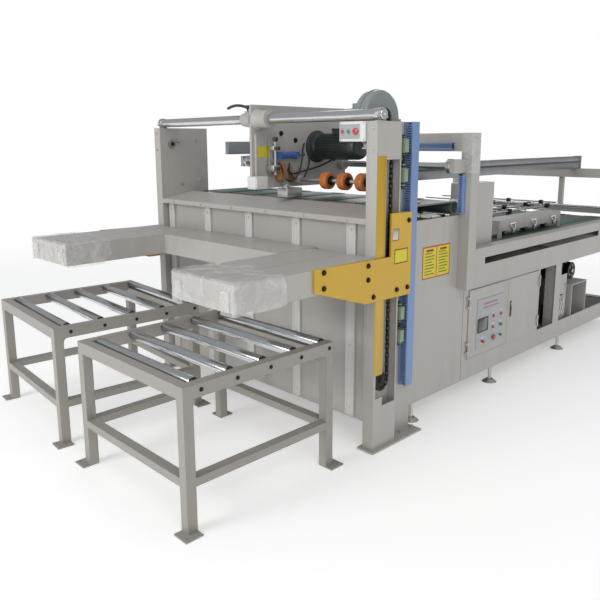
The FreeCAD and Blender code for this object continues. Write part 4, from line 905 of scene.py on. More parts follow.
wiring = joined(
    tube_along([(0.628, 0.715, 1.706), (0.665, 0.715, 1.700), (0.690, 0.760, 1.640),
                (0.660, 0.860, 1.560), (0.560, 0.915, 1.500), (0.420, 0.925, 1.470),
                (0.300, 0.920, 1.455), (0.262, 0.925, 1.480)], 0.0055),
    tube_along([(0.430, 0.945, 1.640), (0.400, 0.925, 1.600), (0.372, 0.910, 1.520),
                (0.330, 0.905, 1.440), (0.270, 0.905, 1.412), (0.220, 0.910, 1.440),
                (0.190, 0.900, 1.500), (0.165, 0.905, 1.530)], 0.0050),
    tube_along([(0.470, 0.940, 1.560), (0.440, 0.915, 1.500), (0.380, 0.900, 1.430), (0.320, 0.912, 1.425),
                (0.290, 0.935, 1.470), (0.300, 0.945, 1.520)], 0.0050))
piece("head_wiring", "head", [(wiring, black_plastic)])
piece("head_label", "head", [(sticker((0.020, 1.560), (0.130, 1.625), HEAD_Y), label_yellow)])

LEVER_Y = 1.052
lever_line = [(MAIN_X, LEVER_Y + y, MAIN_Z + z) for y, z in
              ((0.0, 0.074), (0.030, 0.079), (0.070, 0.086), (0.115, 0.088), (0.155, 0.083), (0.190, 0.074))]
lever_arm = tube_along(lever_line, 0.0085, 16)
lever_base = turned([(1.8352, 0), (1.8352, 0.006), (1.846, 0.006), (1.848, 0.013), (1.851, 0.0155),
                     (1.862, 0.0155), (1.868, 0.011), (1.870, 0)], (MAIN_X, LEVER_Y, 0), "z", 24)
piece("clamp_handle", "lever", [(joined(lever_arm, lever_base), black_plastic)],
      ["clamp_lever"])

WHEEL_X, WHEEL_Z = 0.350, 1.420
tyre = ringed([(-0.030, 0.025), (-0.030, 0.040), (-0.027, 0.047), (-0.022, 0.0508), (-0.016, 0.052),
               (-0.0075, 0.052), (-0.0060, 0.0495), (-0.0045, 0.052), (0.0045, 0.052), (0.0060, 0.0495),
               (0.0075, 0.052), (0.016, 0.052), (0.022, 0.0508), (0.027, 0.047), (0.030, 0.040),
               (0.030, 0.025)], (0, 0, 0), "y", 56)
wheel_hub = ringed([(-0.045, 0.0122), (-0.045, 0.020), (-0.042, 0.0238), (-0.031, 0.024), (-0.0305, 0.030),
                    (0.0305, 0.030), (0.031, 0.024), (0.042, 0.0238), (0.045, 0.020), (0.045, 0.0122)],
                   (0, 0, 0), "y", 40)
wheel_spots = [(WHEEL_X, y, WHEEL_Z) for y in (0.385, 0.525, 0.665)]
axle = turned([(0.325, 0), (0.325, 0.010), (0.327, 0.012), (0.969, 0.012), (0.971, 0.010), (0.971, 0)],
              (WHEEL_X, 0, WHEEL_Z), "y", 28)
piece("feed_wheel_set", "feed_wheels",
      [(copies(tyre, wheel_spots), orange_rubber), (copies(wheel_hub, wheel_spots), black_steel),
       (axle, zinc)], ["feed_wheels"])


# ---- blower: a pressed scroll with an outlet, a ribbed motor behind it and the drum impeller inside ----
# The scroll is two pressed halves with a rolled seam round the rim, painted blue-grey.
BLOWER = (0.258, 0, 1.770)
scroll = ringed([(0.170, 0.055), (0.1698, 0.060), (0.172, 0.068), (0.174, 0.128), (0.179, 0.141),
                 (0.188, 0.1480), (0.205, 0.1495), (0.216, 0.1495), (0.2165, 0.1535), (0.2235, 0.1535),
                 (0.224, 0.1495), (0.252, 0.1480), (0.261, 0.141), (0.266, 0.128), (0.270, 0.016),
                 (0.267, 0.016), (0.263, 0.126), (0.258, 0.139), (0.250, 0.145), (0.190, 0.145),
                 (0.182, 0.139), (0.177, 0.126), (0.175, 0.070), (0.173, 0.055)], BLOWER, "y", 72)
OUTLET = (0.374, 0.220)


def outlet_rings(profile):
    """Level rectangles about the outlet's middle, one for each (half its width, height)."""
    corners = np.array([(-1, -1), (1, -1), (1, 1), (-1, 1)])
    return np.stack([np.column_stack([OUTLET + corners * (half, half + 0.015), np.full(4, z)])
                     for half, z in profile])


mouth = loft(outlet_rings([(0.030, 1.640), (0.030, 1.606), (0.040, 1.606), (0.040, 1.600), (0.025, 1.600),
                           (0.025, 1.640)]), closed=True)
throat = loft(outlet_rings([(0.034, 1.770), (0.034, 1.640), (0.029, 1.640), (0.029, 1.720)]))
inlet_ring = ringed([(0.1600, 0.0555), (0.1600, 0.062), (0.163, 0.066), (0.170, 0.068), (0.1715, 0.060),
                     (0.1715, 0.0555)], BLOWER, "y", 56)
shelf = block((0.198, 0.071, 1.6098), (0.318, 0.270, 1.6196), 0.002)
cradle = [block((x, 0.182, 1.6196), (x + 0.008, 0.258, 1.660), 0.001) for x in (0.198, 0.310)]
piece("blower_scroll", "root", [(joined(scroll, mouth, throat, inlet_ring), blower_paint),
                                (joined(shelf, *cradle), machine_paint)],
      ["blower_housing"])
blower_motor = joined(ribbed(0.272, 0.395, 0.062, 0.006, BLOWER, ribs=36),
                      turned([(0.392, 0), (0.392, 0.058), (0.396, 0.061), (0.428, 0.061), (0.436, 0.056),
                              (0.440, 0.046), (0.440, 0)], BLOWER, "y", 48),
                      block((0.228, 0.300, 1.826), (0.288, 0.368, 1.856), 0.003),
                      turned([(0.200, 0), (0.200, 0.009), (0.271, 0.010), (0.271, 0)], BLOWER, "y", 20))
piece("blower_drive", "root", [(blower_motor, blower_paint)], ["blower_motor"])
BLADES, BLADE_RADIUS, BLADE_LEAN = 32, 0.0995, 0.6
blade = block((-0.0008, 0.196, -0.0095), (0.0008, 0.248, 0.0095), 0.0003)
spin = 2 * np.pi * np.arange(BLADES) / BLADES
blade_spots = np.stack([BLOWER[0] + BLADE_RADIUS * np.cos(spin), np.zeros(BLADES),
                        BLOWER[2] + BLADE_RADIUS * np.sin(spin)], -1)
drum_parts = joined(
    copies(blade, blade_spots, turns_about_y(spin + BLADE_LEAN)),
    sleeve(0.195, 0.198, 0.088, 0.110, BLOWER, "y", 56),
    sleeve(0.2465, 0.2500, 0.0102, 0.110, BLOWER, "y", 56),
    ringed([(0.215, 0.0102), (0.215, 0.018), (0.218, 0.020), (0.2465, 0.020), (0.2465, 0.0102)], BLOWER,
           "y", 28))
piece("blower_wheel", "impeller", [(drum_parts, drawn_aluminium)], ["blower_impeller"])


# ---- pendant box: white moulded case with green, red and mushroom buttons ----
# A flat moulded box with a lid line and four lid screws; the buttons sit in bright bezels.
PENDANT_FACE = -0.015
LID_Z = (1.650, 1.750)
case = joined(*[block((start, 0.0712, LID_Z[0]), (end, 0.242, LID_Z[1]), 0.003, axis="x", corner=0.006)
                for start, end in ((PENDANT_FACE + 0.016, 0.045), (PENDANT_FACE, PENDANT_FACE + 0.0148))])
lid_screw = turned([(0, 0), (-0.0012, 0.003), (-0.0016, 0.0045), (0, 0.0052), (0.001, 0.0052)],
                   (0, 0, 0), "x", 14)
lid_screws = copies(lid_screw, [(PENDANT_FACE, y, z) for y in (0.080, 0.233) for z in (1.659, 1.741)])
PENDANT_SPOTS = {"pendant_stop": 0.12743, "pendant_green": 0.17702, "pendant_red": 0.21635}
bezel = ringed([(0.0005, 0.0095), (-0.0035, 0.0095), (-0.0045, 0.0105), (-0.0045, 0.0138), (-0.0030, 0.0150),
                (0.0005, 0.0150)], (0, 0, 0), "x", 28)
bezels = copies(bezel, [(PENDANT_FACE, y, 1.700) for y in PENDANT_SPOTS.values()])
plate = block((PENDANT_FACE - 0.0008, 0.1035, 1.664), (PENDANT_FACE + 0.0004, 0.2385, 1.736), 0.0003,
              axis="x", corner=0.004)
panel_sheet = enamel("panel_sheet", (0.40, 0.42, 0.44), gloss=0.35, amount=0.2, edge=0.1)
piece("pendant_case", "root",
      [(case, white_plastic), (joined(lid_screws, bezels), zinc), (plate, panel_sheet)],
      ["pendant_box"])
flat_button = [(0.030, 0), (0.030, 0.0085), (-0.004, 0.0085), (-0.0062, 0.0088), (-0.0082, 0.0082),
               (-0.009, 0.0066), (-0.0086, 0)]
mushroom = [(0.030, 0), (0.030, 0.0085), (-0.004, 0.0085), (-0.0045, 0.0125), (-0.0055, 0.0165),
            (-0.0085, 0.0172), (-0.0125, 0.0152), (-0.0148, 0.0095), (-0.0152, 0)]
for name, y_button in PENDANT_SPOTS.items():
    profile = mushroom if name == "pendant_stop" else flat_button
    material = green_plastic if name == "pendant_green" else red_plastic
    shape = turned([(along + PENDANT_FACE, radius) for along, radius in profile], (0, y_button, 1.700),
                   "x", 32)
    piece(name + "_cap", name, [(shape, material)],
          [name])


# ---- wiring ducts: slotted blue plastic with snap-on lids and the wires inside ----
# Each duct is a channel whose sides are combs of fingers, so that wires leave it anywhere along its run.
# One stands behind the near post, a short one on the gate column, and a long one runs under the gate beam.
def slab(low, high):
    """A sharp-edged box, for small parts."""
    (x0, y0, z0), (x1, y1, z1) = low, high
    return loft(lay(np.array([(x0, y0), (x1, y0), (x1, y1), (x0, y1)]), "z", [z0, z1]))


def placed(shape, origin, matrix=((1, 0, 0), (0, 1, 0), (0, 0, 1))):
    """A shape turned by a matrix about the origin and then moved."""
    return shape[0] @ np.asarray(matrix, float).T + np.asarray(origin, float), shape[1]


def slotted_duct(width, depth, length, pitch=0.0125):
    """A duct that stands on the origin with its lid towards -Y: the plastic, then the wires."""
    half, wall, comb = width / 2, 0.0016, 0.74 * depth
    sides = [block((-half, 0, 0), (half, 0.0024, length), 0.0008),
             slab((-half, depth - wall, 0), (half, depth, length))]
    finger_z = np.arange(0.004, length - pitch, pitch)
    for low, high in ((-half, -half + wall), (half - wall, half)):
        sides.append(slab((low, 0.0024, 0), (high, 0.0085, length)))
        sides.append(slab((low, comb, 0), (high, depth - wall, length)))
        finger = slab((low + 0.0002, 0.0085, 0), (high - 0.0002, comb, 0.6 * pitch))
        sides.append(copies(finger, finger_z[:, None] * (0, 0, 1)))
    wires = [rod(0.002, length - 0.002, 0.1 * width,
                 (share * width, depth * (0.35 + 0.3 * (index % 2)), 0), "z", 10)
             for index, share in enumerate((-0.36, -0.14, 0.1, 0.33))]
    return joined(*sides), joined(*wires)


UPRIGHT, LEVEL = ((1, 0, 0), (0, 1, 0), (0, 0, 1)), ((1, 0, 0), (0, 0, 1), (0, -1, 0))
duct_parts, wire_parts = [], []
for size, origin, matrix in (((0.062, 0.055, 1.450), (0.321, 0.004, 0.300), UPRIGHT),
                             ((0.030, 0.036, 0.235), (0.861, 0.034, 1.225), UPRIGHT),
                             ((0.030, 0.040, 1.770), (0.861, 0.120, 1.640), LEVEL)):
    plastic, wires = slotted_duct(*size)
    duct_parts.append(placed(plastic, origin, matrix))
    wire_parts.append(placed(wires, origin, matrix))
piece("slotted_ducts", "root", [(joined(*duct_parts), duct_plastic), (joined(*wire_parts), black_plastic)],
      ["wire_ducts"])


# ---- limit switches beside the near post, each with a cable that loops into the duct ----
# A pale green body holds a black plunger head at one end and a black cable gland at the other.
SWITCH_AXIS, SWITCH_HALF = (0.255, 0.034, 0), 0.038
switch_bodies, switch_heads, switch_metal, switch_cables = [], [], [], []
for low, high, up in ((1.572, 1.684, 1), (1.402, 1.552, -1), (0.664, 0.794, 1), (0.545, 0.655, -1)):
    middle = (low + high) / 2
    body_low, body_high = middle - SWITCH_HALF, middle + SWITCH_HALF
    reach = (high - middle) - SWITCH_HALF
    switch_bodies.append(block((0.236, 0.014, body_low), (0.274, 0.056, body_high), 0.003, corner=0.005))
    switch_bodies.append(block((0.238, 0.0105, body_low + 0.004), (0.272, 0.0145, body_high - 0.004),
                               0.0015, corner=0.004))
    for end in (1, -1):
        edge = middle + end * SWITCH_HALF
        profile = [(0, 0), (0, 0.0125), (0.35 * reach, 0.0135), (0.5 * reach, 0.009), (0.98 * reach, 0.008),
                   (reach, 0.006), (reach, 0)]
        switch_heads.append(turned([(edge + end * along, radius) for along, radius in profile],
                                   SWITCH_AXIS, "z", 18))
        switch_metal.append(rod(edge + end * 0.36 * reach, edge + end * 0.47 * reach, 0.0142, SWITCH_AXIS,
                                "z", 6))
    tip = middle - up * (high - middle)
    switch_cables.append(tube_along([(0.255, 0.034, tip), (0.254, 0.033, tip - up * 0.006),
                                     (0.247, 0.018, tip - up * 0.013), (0.237, 0.010, tip - up * 0.004),
                                     (0.240, 0.0085, tip + up * 0.008), (0.262, 0.0075, tip + up * 0.012),
                                     (0.291, 0.012, tip + up * 0.013)], 0.0034, 10))
    screws = [(x, 0.0105, z) for x in (0.243, 0.267) for z in (body_low + 0.009, body_high - 0.009)]
    switch_metal.append(copies(turned([(0, 0), (0, 0.003), (-0.001, 0.0027), (-0.001, 0)], (0, 0, 0),
                                      "y", 10), screws))
    switch_metal.append(block((0.232, 0.0562, low + 0.01), (0.278, 0.059, high - 0.01), 0.0008))
piece("limit_switches", "root",
      [(joined(*switch_bodies), valve_paint), (joined(*switch_heads, *switch_cables), black_plastic),
       (joined(*switch_metal), zinc)], ["valve_bodies"])


# ---- control cabinet: hinges, the control plate with its display and lamps, and the door latch ----
# The plate is a grey anodised sheet. Three lamps and four buttons in metal rings stand beside a display.
display_glass = enamel("display_glass", (0.012, 0.014, 0.016), gloss=0.08, amount=0.08, edge=0.0, coat=1.0)
label_line = enamel("label_line", (0.20, 0.30, 0.02), gloss=0.35, amount=0.1, edge=0.0)
label_pink = enamel("label_pink", (0.45, 0.16, 0.20), gloss=0.35, amount=0.1, edge=0.0)
plate_sheet = sticker((1.1275, 0.3105), (1.4615, 0.6395), 0.0621, 0.0008)
plate_screws = copies(turned([(0, 0), (0, 0.004), (-0.0012, 0.0034), (-0.0012, 0)], (0, 0, 0), "y", 12),
                      [(x, 0.0613, z) for x in (1.1345, 1.4545) for z in (0.3175, 0.6325)])
bezel = joined(*[block((1.1385, 0.0570, z), (1.2665, 0.0616, z + 0.0085), 0.0008, "x")
                 for z in (0.4165, 0.5030)],
               *[block((x, 0.0570, 0.4250), (x + 0.0090, 0.0616, 0.5030), 0.0008)
                 for x in (1.1385, 1.2575)])
screen = block((1.1470, 0.0580, 0.4245), (1.2580, 0.0600, 0.5035), 0.0005)
LAMP_SPOTS = ((1.335, 0.500), (1.435, 0.500), (1.335, 0.424))
BUTTON_SPOTS = {"button_down": (1.435, 0.350), "button_up": (1.435, 0.424), "button_stop": (1.207, 0.350),
                "emergency_stop": (1.345, 0.350)}
RING_BACK = 0.0617
lamp_ring = ringed([(RING_BACK, 0.0112), (RING_BACK, 0.0158), (0.0590, 0.0150), (0.0588, 0.0122)],
                   (0, 0, 0), "y", 32)
lamp_dome = turned([(0.0590, 0), (0.0590, 0.0118), (0.0556, 0.0118), (0.0530, 0.0100), (0.0514, 0.0062),
                    (0.0509, 0)], (0, 0, 0), "y", 32)
button_ring = ringed([(RING_BACK, 0.0118), (RING_BACK, 0.0158), (0.0606, 0.0155), (0.0604, 0.0120)],
                     (0, 0, 0), "y", 32)
lamp_places = [(x, 0, z) for x, z in LAMP_SPOTS]
button_places = [(x, 0, z) for x, z in BUTTON_SPOTS.values()]
PRINT_FACE = 0.0614
name_plates = [sticker((x - 0.017, z + 0.0205), (x + 0.017, z + 0.0285), PRINT_FACE, 0.0004)
               for x, z in (*LAMP_SPOTS, BUTTON_SPOTS["button_up"], BUTTON_SPOTS["button_stop"])]
headline = [sticker((1.205, 0.596), (1.385, 0.608), PRINT_FACE, 0.0004),
            sticker((1.190, 0.572), (1.400, 0.581), PRINT_FACE, 0.0004)]
door_seams = [slab((1.0325, 0.0633, z), (1.5260, 0.0641, z + 0.0012)) for z in (0.2660, 0.7150)]
piece("control_plate", "door_left",
      [(plate_sheet, panel_sheet), (joined(plate_screws, copies(lamp_ring, lamp_places),
                                           copies(button_ring, button_places)), chrome),
       (bezel, black_plastic), (screen, display_glass), (copies(lamp_dome, lamp_places), red_plastic),
       (joined(*name_plates), white_plastic), (joined(*headline), label_pink),
       (joined(*door_seams), machine_paint)])
small_head = [(0.0760, 0), (0.0760, 0.0088), (0.0563, 0.0088), (0.0560, 0.0104), (0.0496, 0.0110),
              (0.0476, 0.0101), (0.0470, 0.0070), (0.0476, 0)]
mushroom_head = [(0.0760, 0), (0.0760, 0.0088), (0.0563, 0.0088), (0.0556, 0.0160), (0.0540, 0.0192),
                 (0.0518, 0.0200), (0.0494, 0.0186), (0.0477, 0.0128), (0.0470, 0)]
for name, (x, z) in BUTTON_SPOTS.items():
    green = name in ("button_down", "button_up")
    shape = turned(mushroom_head if name == "emergency_stop" else small_head, (x, 0, z), "y", 40)
    piece(name + "_cap", name, [(shape, green_plastic if green else red_plastic)],
          [name])
latch = joined(block((1.5630, 0.0588, 0.4490), (1.5790, 0.0642, 0.5610), 0.0012, corner=0.005),
               block((1.5665, 0.0560, 0.4580), (1.5755, 0.0590, 0.5200), 0.0010, corner=0.003))
latch_lock = turned([(0.0590, 0), (0.0590, 0.0050), (0.0562, 0.0046), (0.0562, 0)], (1.571, 0, 0.541),
                    "y", 20)
piece("door_latch", "door_right", [(latch, black_plastic), (latch_lock, chrome)])

HINGE_X, HINGE_Z = (1.027, 1.985), (0.320, 0.622)
hinge_metal = []
for x, leaf in zip(HINGE_X, (-1, 1)):
    for z in HINGE_Z:
        pin = (x, 0.058, 0)
        hinge_metal.append(turned(
            [(z + along, radius) for along, radius in (
                (-0.0205, 0), (-0.0205, 0.0055), (-0.020, 0.0062), (-0.0006, 0.0062), (-0.0006, 0.0030),
                (0.0406, 0.0030), (0.0406, 0.0062), (0.060, 0.0062), (0.0605, 0.0055), (0.0605, 0))],
            pin, "z", 20))
        low_x, high_x = sorted((x, x + leaf * 0.020))
        for low, high in ((z - 0.020, z - 0.0005), (z + 0.0405, z + 0.060)):
            hinge_metal.append(block((low_x, 0.0602, low), (high_x, 0.0640, high), 0.0008))
plate_bolt = hex_bolt("y", -1, 0.0085)
plate_bolts = copies(plate_bolt, [(0.150, 0.0712, 1.660), (0.170, 0.0712, 1.360)])
axle_head = hex_bolt("y", -1, 0.0078)
rail_x, TABLE_WIDTH = 0.093 + 0.196 * np.arange(5), 0.927
AXLE_HEAD_Z, ROLLER_Z = 0.639, 0.653
near_heads = copies(axle_head, [(x, 0, AXLE_HEAD_Z) for x in rail_x])
far_heads = mirrored(near_heads, TABLE_WIDTH)
TABLES = {"a": ((-1.152, 0.062, 0.0), 0.0), "b": ((-1.148, 1.272, 0.0), math.radians(-4.2))}


def turn_z(angle):
    """The matrix of a turn about the vertical."""
    return ((math.cos(angle), -math.sin(angle), 0), (math.sin(angle), math.cos(angle), 0), (0, 0, 1))


table_heads = [placed(joined(near_heads, far_heads), corner, turn_z(angle))
               for corner, angle in TABLES.values()]
piece("hinges_and_bolts", "root", [(joined(*hinge_metal, both(plate_bolts)), zinc),
                                   (joined(*table_heads), black_steel)], ["fasteners"])


# ---- roller tables: chromed tube rollers with black end caps, and welded corners ----
# Each roller is a chromed tube on pressed-in black plastic bearings, and turns on its own steel axle.
def table_roller():
    """One roller along +Y from the table's near edge, at the origin: tube, end caps and axle ends."""
    tube = turned([(0.0605, 0), (0.0605, 0.0225), (0.0610, 0.0244), (0.0622, 0.0250), (0.8648, 0.0250),
                   (0.8660, 0.0244), (0.8665, 0.0225), (0.8665, 0)], (0, 0, 0), "y", 48)
    cap = turned([(0.0532, 0), (0.0532, 0.0140), (0.0550, 0.0215), (0.0570, 0.0246), (0.0608, 0.0248),
                  (0.0608, 0)], (0, 0, 0), "y", 40)
    axle = rod(0.027, 0.900, 0.0078, (0, 0, 0), "y", 20)
    return tube, joined(cap, mirrored(cap, TABLE_WIDTH)), axle


roller_parts = table_roller()
roller_chrome = brushed("roller_chrome", (0.62, 0.63, 0.65), 0.14, (14.0, 900.0, 900.0), dust=0.3,
                        fleck=(0.06, 0.06, 0.065))
for letter, (corner, angle) in TABLES.items():
    for index in range(5):
        offset = np.array([rail_x[index], 0, ROLLER_Z])
        shapes = [placed(placed(shape, offset), corner, turn_z(angle)) for shape in roller_parts]
        name = f"roller_{letter}{index + 1}"
        piece(name + "_tube", name, list(zip(shapes, (roller_chrome, black_plastic, zinc))), [name])

corner_welds = []
for x in (0.050, 0.854):
    inward = 1 if x < 0.5 else -1
    for y in (0.0, 0.877):
        for z in (0.2120, 0.2520, 0.6080):
            low_x, high_x = sorted((x, x + inward * 0.005))
            corner_welds.append(block((low_x, y + 0.004, z - 0.0025), (high_x, y + 0.046, z + 0.0025), 0.002,
                                      "y"))
gussets = []
for x, inward in ((0.050, 1), (0.854, -1)):
    for y in (0.002, 0.923):
        outline = np.array([(0.6082, x), (0.6082, x + inward * 0.022), (0.6030, x + inward * 0.008),
                            (0.5870, x)])
        gussets.append(loft(lay(outline, "y", [y - 0.001, y + 0.002])))
table_trim = [placed(joined(*corner_welds, *gussets), corner, turn_z(angle))
              for corner, angle in TABLES.values()]
piece("table_welds", "root", [(joined(*table_trim), table_paint)])


# ---- base pan and bed aprons: dark sheets that close the frame underneath and inside the bed, as painted shade ----
# The long rails carry a dark sheet, and a sheet hangs from each side of the bed behind the long slot. Their
# dark colour is painted shade for the frame's shadowed inside, with a little dust over it.
# The sheets' near-black colour stands in for the shade inside the frame and the bed.
shade_sheet_paint = enamel("shade_sheet_enamel", (0.13, 0.125, 0.115), gloss=0.5, dust=(0.20, 0.17, 0.13), amount=0.6,
                   edge=0.2)
pan = block((0.072, 0.128, 0.2015), (3.700, 1.882, 0.2045), 0.0008)
shade_apron = joined(block((1.020, 0.3000, 0.780), (3.580, 0.3020, 0.8795), 0.0008),
               block((1.020, 0.3000, 0.778), (3.580, 0.3300, 0.7800), 0.0008))
piece("base_shade_pan", "root", [(joined(pan, both(shade_apron)), shade_sheet_paint)])


# ---- bed drive: ribbed motor on its plate, grooved pulley, and the gearbox below it ----
# A two-groove pulley carries rubber belts down to a smaller wheel on a worm gearbox bolted to the tray.
DRIVE_X, DRIVE_Z = 2.740, 0.600
PULLEY_SCREWS, SCREW_STEP = 5, 1.2566
drive_green = enamel("drive_enamel", (0.012, 0.060, 0.055), gloss=0.25, dust=(0.14, 0.13, 0.10),
                     amount=0.3, bare=(0.10, 0.10, 0.09), coat=0.4)
drive_centre = (DRIVE_X, 0, DRIVE_Z)
drive_case = joined(
    ribbed(0.222, 0.380, 0.0848, 0.007, drive_centre, ribs=36),
    turned([(0.200, 0), (0.200, 0.060), (0.203, 0.082), (0.206, 0.0848), (0.216, 0.0848), (0.222, 0.078),
            (0.222, 0)], drive_centre, "y", 48),
    turned([(0.378, 0), (0.378, 0.080), (0.384, 0.0845), (0.420, 0.0835), (0.428, 0.076), (0.430, 0.060),
            (0.430, 0)], drive_centre, "y", 48))
drive_shaft = turned([(0.140, 0), (0.140, 0.0138), (0.1412, 0.0150), (0.201, 0.0150), (0.201, 0)],
                     drive_centre, "y", 28)
drive_feet = [block((x - 0.010, 0.240, 0.5155), (x + 0.010, 0.360, 0.5300), 0.003) for x in (2.690, 2.790)]
piece("drive_unit", "root", [(joined(drive_case, *drive_feet), drive_green), (drive_shaft, ground_steel)],
      ["drive_motor"])
groove = [(0.1500, 0.0152), (0.1500, 0.0686), (0.1515, 0.0700), (0.1555, 0.0700), (0.1590, 0.0610),
          (0.1625, 0.0610), (0.1655, 0.0700), (0.1690, 0.0700), (0.1725, 0.0610), (0.1760, 0.0610),
          (0.1795, 0.0700), (0.1835, 0.0700), (0.1850, 0.0686), (0.1850, 0.0152)]
pulley_rim = ringed(groove, drive_centre, "y", 56)
pulley_boss = ringed([(0.1470, 0.0152), (0.1470, 0.0290), (0.1502, 0.0300), (0.1502, 0.0152)],
                     drive_centre, "y", 32)
pulley_screws = copies(turned([(0, 0), (0, 0.0060), (-0.0030, 0.0055), (-0.0030, 0)], (0, 0, 0), "y", 12),
                       [(DRIVE_X + 0.047 * np.cos(turn), 0.1502, DRIVE_Z + 0.047 * np.sin(turn))
                        for turn in np.arange(PULLEY_SCREWS) * SCREW_STEP])
piece("drive_wheel", "drive_pulley", [(joined(pulley_rim, pulley_boss), black_steel), (pulley_screws, zinc)],
      ["drive_pulley"])
gear_x, gear_z = 2.665, 0.385
gear_case = joined(block((gear_x - 0.055, 0.205, 0.305), (gear_x + 0.055, 0.330, 0.450), 0.006, corner=0.012),
                   turned([(0.196, 0), (0.196, 0.040), (0.200, 0.046), (0.206, 0.046), (0.206, 0)],
                          (gear_x, 0, gear_z), "y", 36),
                   block((gear_x - 0.075, 0.215, 0.2050), (gear_x + 0.075, 0.320, 0.3060), 0.004))
gear_wheel = ringed([(0.158, 0.0125), (0.158, 0.0440), (0.160, 0.0450), (0.164, 0.0390), (0.168, 0.0390),
                     (0.172, 0.0450), (0.176, 0.0390), (0.180, 0.0390), (0.183, 0.0450), (0.184, 0.0440),
                     (0.184, 0.0125)], (gear_x, 0, gear_z), "y", 40)
gear_shaft = rod(0.150, 0.200, 0.0122, (gear_x, 0, gear_z), "y", 20)
piece("drive_gearbox", "root", [(gear_case, motor_paint), (gear_wheel, black_steel), (gear_shaft, zinc)])
tray_face = 0.1052
tray_bolts = copies(hex_bolt("y", -1, 0.009),
                    [(x, tray_face, z) for z in (0.520, 0.350) for x in (2.420, 2.530)])
# The tray's slots are thin black strips on its face, painted shade for the openings.
tray_slot_shade = [block((2.445, tray_face - 0.0008, z), (2.505, tray_face, z + 0.012), 0.0003)
              for z in (0.400, 0.440)]
tray_box = block((2.395, 0.1125, 0.560), (2.470, 0.160, 0.715), 0.003, corner=0.004)
piece("tray_fittings", "root", [(tray_bolts, zinc), (joined(*tray_slot_shade, tray_box), black_plastic)])
tray_links = [tube_along([(x, 0.105, 0.300), (x + 0.010, 0.098, 0.360), (x - 0.004, 0.098, 0.430)],
                         0.004, 10) for x in (2.452, 2.490)]
piece("tray_links", "root", [(joined(*tray_links), chrome)])


# ---- bed gear: slider plates, press wheels with their hooks, chromed rods and the drums' rings ----
# The slider plates are worn grey-green. Each press wheel hangs from a bent chromed hook on the press box.
bed_green = enamel("bed_enamel", (0.085, 0.115, 0.10), gloss=0.42, dust=(0.25, 0.24, 0.21), amount=0.5,
                   edge=0.2, bare=(0.28, 0.28, 0.27))
dress(bed_green, "slider_beds")
wheel_rubber = enamel("wheel_rubber", (0.035, 0.035, 0.035), gloss=0.5, dust=(0.2, 0.19, 0.17),
                      amount=0.3, edge=0.0)
PRESS_X, PRESS_Z = (1.930, 2.260, 2.590), 0.9825
for index, x in enumerate(PRESS_X):
    centre = (x, 0, PRESS_Z)
    tread = ringed([(0.3305, 0.0120), (0.3305, 0.0200), (0.3325, 0.0217), (0.3675, 0.0217), (0.3695, 0.0200),
                    (0.3695, 0.0120)], centre, "y", 36)
    core = turned([(0.3212, 0), (0.3212, 0.0058), (0.3290, 0.0058), (0.3290, 0.0122), (0.3710, 0.0122),
                   (0.3710, 0.0058), (0.3788, 0.0058), (0.3788, 0)], centre, "y", 28)
    name = f"press_wheel_{index + 1}"
    piece(name + "_tyre", name, [(tread, wheel_rubber), (core, zinc)], [name])
hooks = []
for x in PRESS_X:
    hooks.append(tube_along([(x - 0.034, 0.2695, 1.052), (x - 0.030, 0.262, 1.030), (x - 0.012, 0.258, 1.004),
                             (x + 0.012, 0.258, 0.988), (x + 0.034, 0.262, 0.975)], 0.0052, 10))
    hooks.append(tube_along([(x + 0.034, 0.2695, 1.052), (x + 0.028, 0.262, 1.026), (x + 0.006, 0.259, 1.002),
                             (x - 0.016, 0.259, 0.985)], 0.0046, 10))
    hooks.append(block((x - 0.045, 0.2665, 1.040), (x + 0.045, 0.2718, 1.064), 0.0015))
    hooks.append(turned([(0.256, 0), (0.256, 0.011), (0.259, 0.013), (0.272, 0.013), (0.272, 0)],
                        (x, 0, 1.000), "y", 24))
piece("press_hooks", "root", [(joined(*hooks), chrome)])
rod_parts, rod_blocks = [], []
LONG_ROD_Z, CROSS_ROD_Z = 1.105, 1.128
for y in (0.470, 0.640):
    rod_parts.append(turned([(1.425, 0), (1.425, 0.0080), (1.428, 0.0095), (2.995, 0.0095), (2.998, 0.0080),
                             (2.998, 0)], (0, y, LONG_ROD_Z), "x", 20))
    for x in (1.560, 2.240, 2.900):
        rod_blocks.append(block((x - 0.018, y - 0.016, LONG_ROD_Z - 0.020),
                                (x + 0.018, y + 0.016, LONG_ROD_Z + 0.018), 0.002))
for x in (1.600, 1.960, 2.320, 2.680, 2.960):
    rod_parts.append(rod(0.420, 1.560, 0.0070, (x, 0, CROSS_ROD_Z), "y", 16))
    for y in (0.555, 0.860, 1.180):
        rod_blocks.append(block((x - 0.013, y - 0.016, 1.108), (x + 0.013, y + 0.016, 1.142), 0.002))
        rod_parts.append(rod(0.985, 1.112, 0.0048, (x, y, 0), "z", 12))
        rod_blocks.append(rod(y - 0.010, y + 0.010, 0.022, (x, 0, PRESS_Z), "y", 20))
rod_arms = [block((x - 0.012, 0.385, 1.0852), (x + 0.012, 0.488, 1.0960), 0.002) for x in (1.780, 2.690)]
cross_rod = rod(0.140, 1.870, 0.0125, (3.640, 0, 1.040), "y", 24)
rod_ends = [block((3.622, y - 0.012, 0.990), (3.6895, y + 0.012, 1.055), 0.003)
            for y in (0.150, 1.860)]
piece("bed_rods", "root", [(joined(*rod_parts, cross_rod), chrome), (joined(*rod_blocks), black_steel),
                           (joined(*rod_arms, *rod_ends), zinc)])
BELT_Y = (0.270, 0.430, 0.597, 0.758, 0.925, 1.085, 1.252, 1.413, 1.580, 1.740)
ring_profile = ((-0.016, 0.0382), (-0.016, 0.0396), (-0.014, 0.0402), (0.014, 0.0402), (0.016, 0.0396),
                (0.016, 0.0382))
